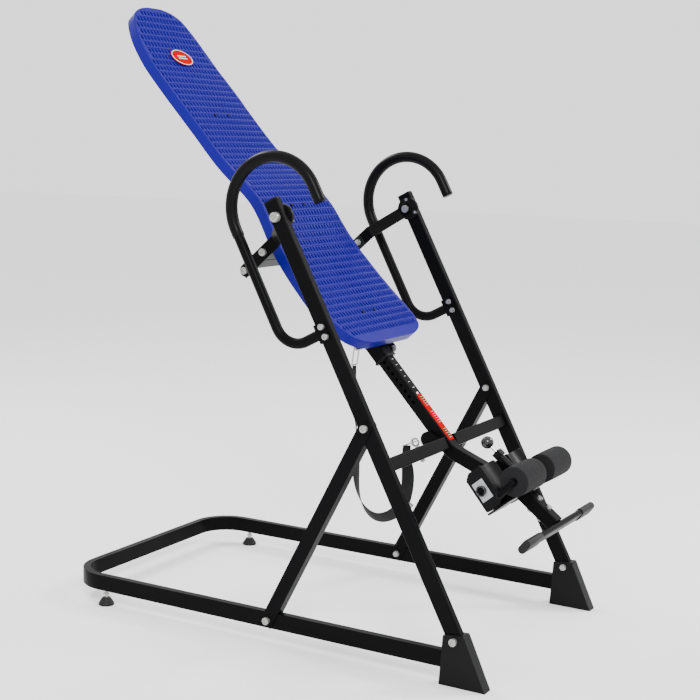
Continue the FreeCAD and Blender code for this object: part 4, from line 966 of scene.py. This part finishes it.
# %% Bars on the strip and ticks of the height scale
LABEL_TOP = 17.65
LABEL_LOW, LINE_PITCH, LINES = -256, 6.6, 21
marks = []
for row in range(1, LINES):
    s = LABEL_LOW + row * LINE_PITCH
    reach = (10.0, 8.0, 9.5)[row % 3]
    if row % 8 < 6:
        marks.append(plate_on_boom("mark", -3.0, reach, s, s + 0.8, LABEL_TOP, 0.2))
label_marks = paint(join("label_bars", marks), PALE_MARK)
TICK_LOW, TICK_PITCH = -94, 18.0
ticks = [plate_on_boom("pointer", -6, 3, LABEL_LOW + 142, LABEL_LOW + 148, 17.0, 0.2)]
for step in range(8):
    s = TICK_LOW + step * TICK_PITCH
    ticks.append(plate_on_boom("tick", -5, 2 if step % 3 else 5, s, s + 1.2, 17.0, 0.2))
scale_ticks = paint(join("height_scale", ticks), PALE_MARK)
for piece in (label_marks, scale_ticks):
    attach(piece, "boom")
print("label bars", len(marks), "ticks", len(ticks))

# %% [markdown]
# ## Socket bolts
#
# The engineering model's bolts have plain hexagon heads. The real ones are domed, with a socket for
# the key. One cap is modelled at the origin, pointing along -X, and copied over each head.

# %% One domed head with a socket
def domed_head(radius, height):
    """Cap over a bolt's head, with a shallow round socket."""
    bpy.ops.mesh.primitive_cylinder_add(vertices=36, radius=radius, depth=height, location=(-height / 2, 0, 0),
                                        rotation=(0, math.pi / 2, 0))
    head = named("domed_head")
    choose_faces(head, lambda centre, normal: normal.x < -0.9)
    bpy.ops.mesh.inset(thickness=radius * 0.2)
    bpy.ops.mesh.inset(thickness=radius * 0.28)
    bpy.ops.transform.translate(value=(-1.2 * MM, 0, 0))
    bpy.ops.mesh.inset(thickness=radius * 0.06)
    bpy.ops.mesh.extrude_region_move(TRANSFORM_OT_translate={"value": (2.6 * MM, 0, 0)})
    back_to_object()
    modify(head, "BEVEL", width=radius * 0.1, segments=3, limit_method="ANGLE", angle_limit=math.radians(50))
    return smooth(outward(head), 50)


HANDLE_S = 877.5
HEADS = {"strut": ("frame", 8.9, 8.4, 349.2, [at(241, 562), at(498, 58.5)]),
         "handle": ("frame", 7.1, 7.2, 349.2, [on_upright(HANDLE_S - 12.5), on_upright(HANDLE_S + 12.5)]),
         "foot": ("frame", 8.9, 8.2, 351.5, [on_upright(106 / math.cos(LEAN))]),
         "pivot": ("bed", 11.6, 9.4, 348.0, [PIVOT]),
         "arm": ("bed", 8.9, 8.4, 239.0, [at(490 + 0.744 * p, 1032 - 0.6685 * p) for p in (140, 212)])}
for label, (body, radius, height, x, places) in HEADS.items():
    model = domed_head(radius * MM, height * MM)
    heads = []
    for y, z in places:
        left = copy_of(model, "head", move=(-x * MM, y, z))
        heads += [left, copy_of(left, "head", mirror=True)]
    take(model)
    bpy.ops.object.delete()
    finished = smooth(paint(join(label + "_bolt_heads", heads), ZINC), 50)
    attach(finished, body)
print("domed heads on", len(HEADS), "sets of bolts")

# %% [markdown]
# ## Tube plug in the ankle cup
#
# The cross tube of the ankle cups ends in a black plug with a dished face and a rounded rim.

# %% One tube plug, and its mirror image
def tube_plug():
    y, z = CUP_AXIS
    bpy.ops.mesh.primitive_cylinder_add(vertices=40, radius=13 * MM, depth=7 * MM, location=(-129.5 * MM, y, z),
                                        rotation=(0, math.pi / 2, 0))
    plug = named("cup_tube_plug_left")
    choose_faces(plug, lambda centre, normal: normal.x < -0.9)
    bpy.ops.mesh.inset(thickness=4 * MM)
    bpy.ops.mesh.extrude_region_move(TRANSFORM_OT_translate={"value": (4.5 * MM, 0, 0)})
    bpy.ops.mesh.inset(thickness=2 * MM)
    back_to_object()
    modify(plug, "BEVEL", width=1.6 * MM, segments=4, limit_method="ANGLE", angle_limit=math.radians(50))
    return smooth(outward(plug), 40)


plug_left = tube_plug()
plug_right = copy_of(plug_left, "cup_tube_plug_right", mirror=True)
for plug in (plug_left, plug_right):
    smooth(paint(plug, GLOSS_KNOB), 40)
    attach(plug, "boom")
print("plug faces:", len(plug_left.data.polygons))

# %% [markdown]
# ## Soft edges on folded and moulded parts
#
# The engineering model's flat parts have knife edges, which catch no light. Each gets a weld, which
# joins its loose triangles, and then a narrow bevel. Both are modifiers, so the meshes stay as
# they are.

# %% Weld and bevel
SOFT_EDGES = {"foot_shoe_left": 2.5, "foot_shoe_right": 2.5, "strut_left": 1.0, "strut_right": 1.0,
              "pivot_arm_left": 0.8, "pivot_arm_right": 0.8, "handle_brackets": 0.8, "crossbar": 0.9,
              "base_frame": 2.5, "ankle_cup_left": 2.5, "ankle_cup_right": 2.5, "heel_plates": 0.8,
              "cup_end_plates": 0.8, "bearing_housings": 1.0}
for name, width in SOFT_EDGES.items():
    if name in nodes:
        weld = nodes[name].modifiers.new("weld", "WELD")
        weld.merge_threshold = 0.00002
        bevel = nodes[name].modifiers.new("soft_edges", "BEVEL")
        bevel.width = width * MM
        bevel.segments = 3
        bevel.limit_method = "ANGLE"
        bevel.angle_limit = math.radians(40)
        bevel.use_clamp_overlap = True
        bevel.harden_normals = False
    else:
        print("no node", name)
print("soft edges on", len(SOFT_EDGES), "nodes")

# %% Floor, light and world
def studio():
    bpy.ops.mesh.primitive_plane_add(size=40, location=(0, 0, 0))
    floor = named("floor")
    material = bpy.data.materials.new("pale_floor")
    material.use_nodes = True
    shader = material.node_tree.nodes["Principled BSDF"]
    shader.inputs["Base Color"].default_value = (0.93, 0.93, 0.93, 1)
    shader.inputs["Roughness"].default_value = 0.6
    paint(floor, material)
    world = bpy.data.worlds.new("studio")
    bpy.context.scene.world = world
    world.use_nodes = True
    world.node_tree.nodes["Background"].inputs["Color"].default_value = (1, 1, 1, 1)
    world.node_tree.nodes["Background"].inputs["Strength"].default_value = 1.7
    for place, size, power in (((-3.2, -2.2, 3.4), 1.2, 170), ((2.5, -2.5, 3.0), 0.8, 110), ((0.5, 3.0, 3.6), 1.2, 110)):
        bpy.ops.object.light_add(type="AREA", location=place)
        light = bpy.context.object
        light.data.size = size
        light.data.energy = power
        aim = np.array([0.0, 0.0, 0.8]) - np.array(place)
        flat = math.hypot(aim[0], aim[1])
        light.rotation_euler = (math.atan2(flat, -aim[2]), 0, math.atan2(aim[1], aim[0]) - math.pi / 2)


studio()

# %% Materials of the engineering nodes
NODE_FINISH = {
    "black_paint": BLACK_PAINT, "grey_paint": GREY_PAINT, "zinc_steel": ZINC, "black_plastic": BLACK_PLASTIC,
    "blue_plastic": BLUE_PLASTIC, "red_label": RED_LABEL, "grey_plate": GREY_INSERT, "black_foam": FOAM,
    "black_rubber": RUBBER, "webbing": WEBBING}
for entry in frame["record"]["subparts"]:
    paint(nodes[entry["node"]], NODE_FINISH[entry["material_slot"]])
for name in ("ankle_pin_knob", "height_pin_knob"):
    paint(nodes[name], GLOSS_KNOB)
for name in ("ankle_pin", "height_pin"):
    paint(nodes[name], CHROME)
paint(nodes["backrest_screws"], BLACK_PLASTIC)
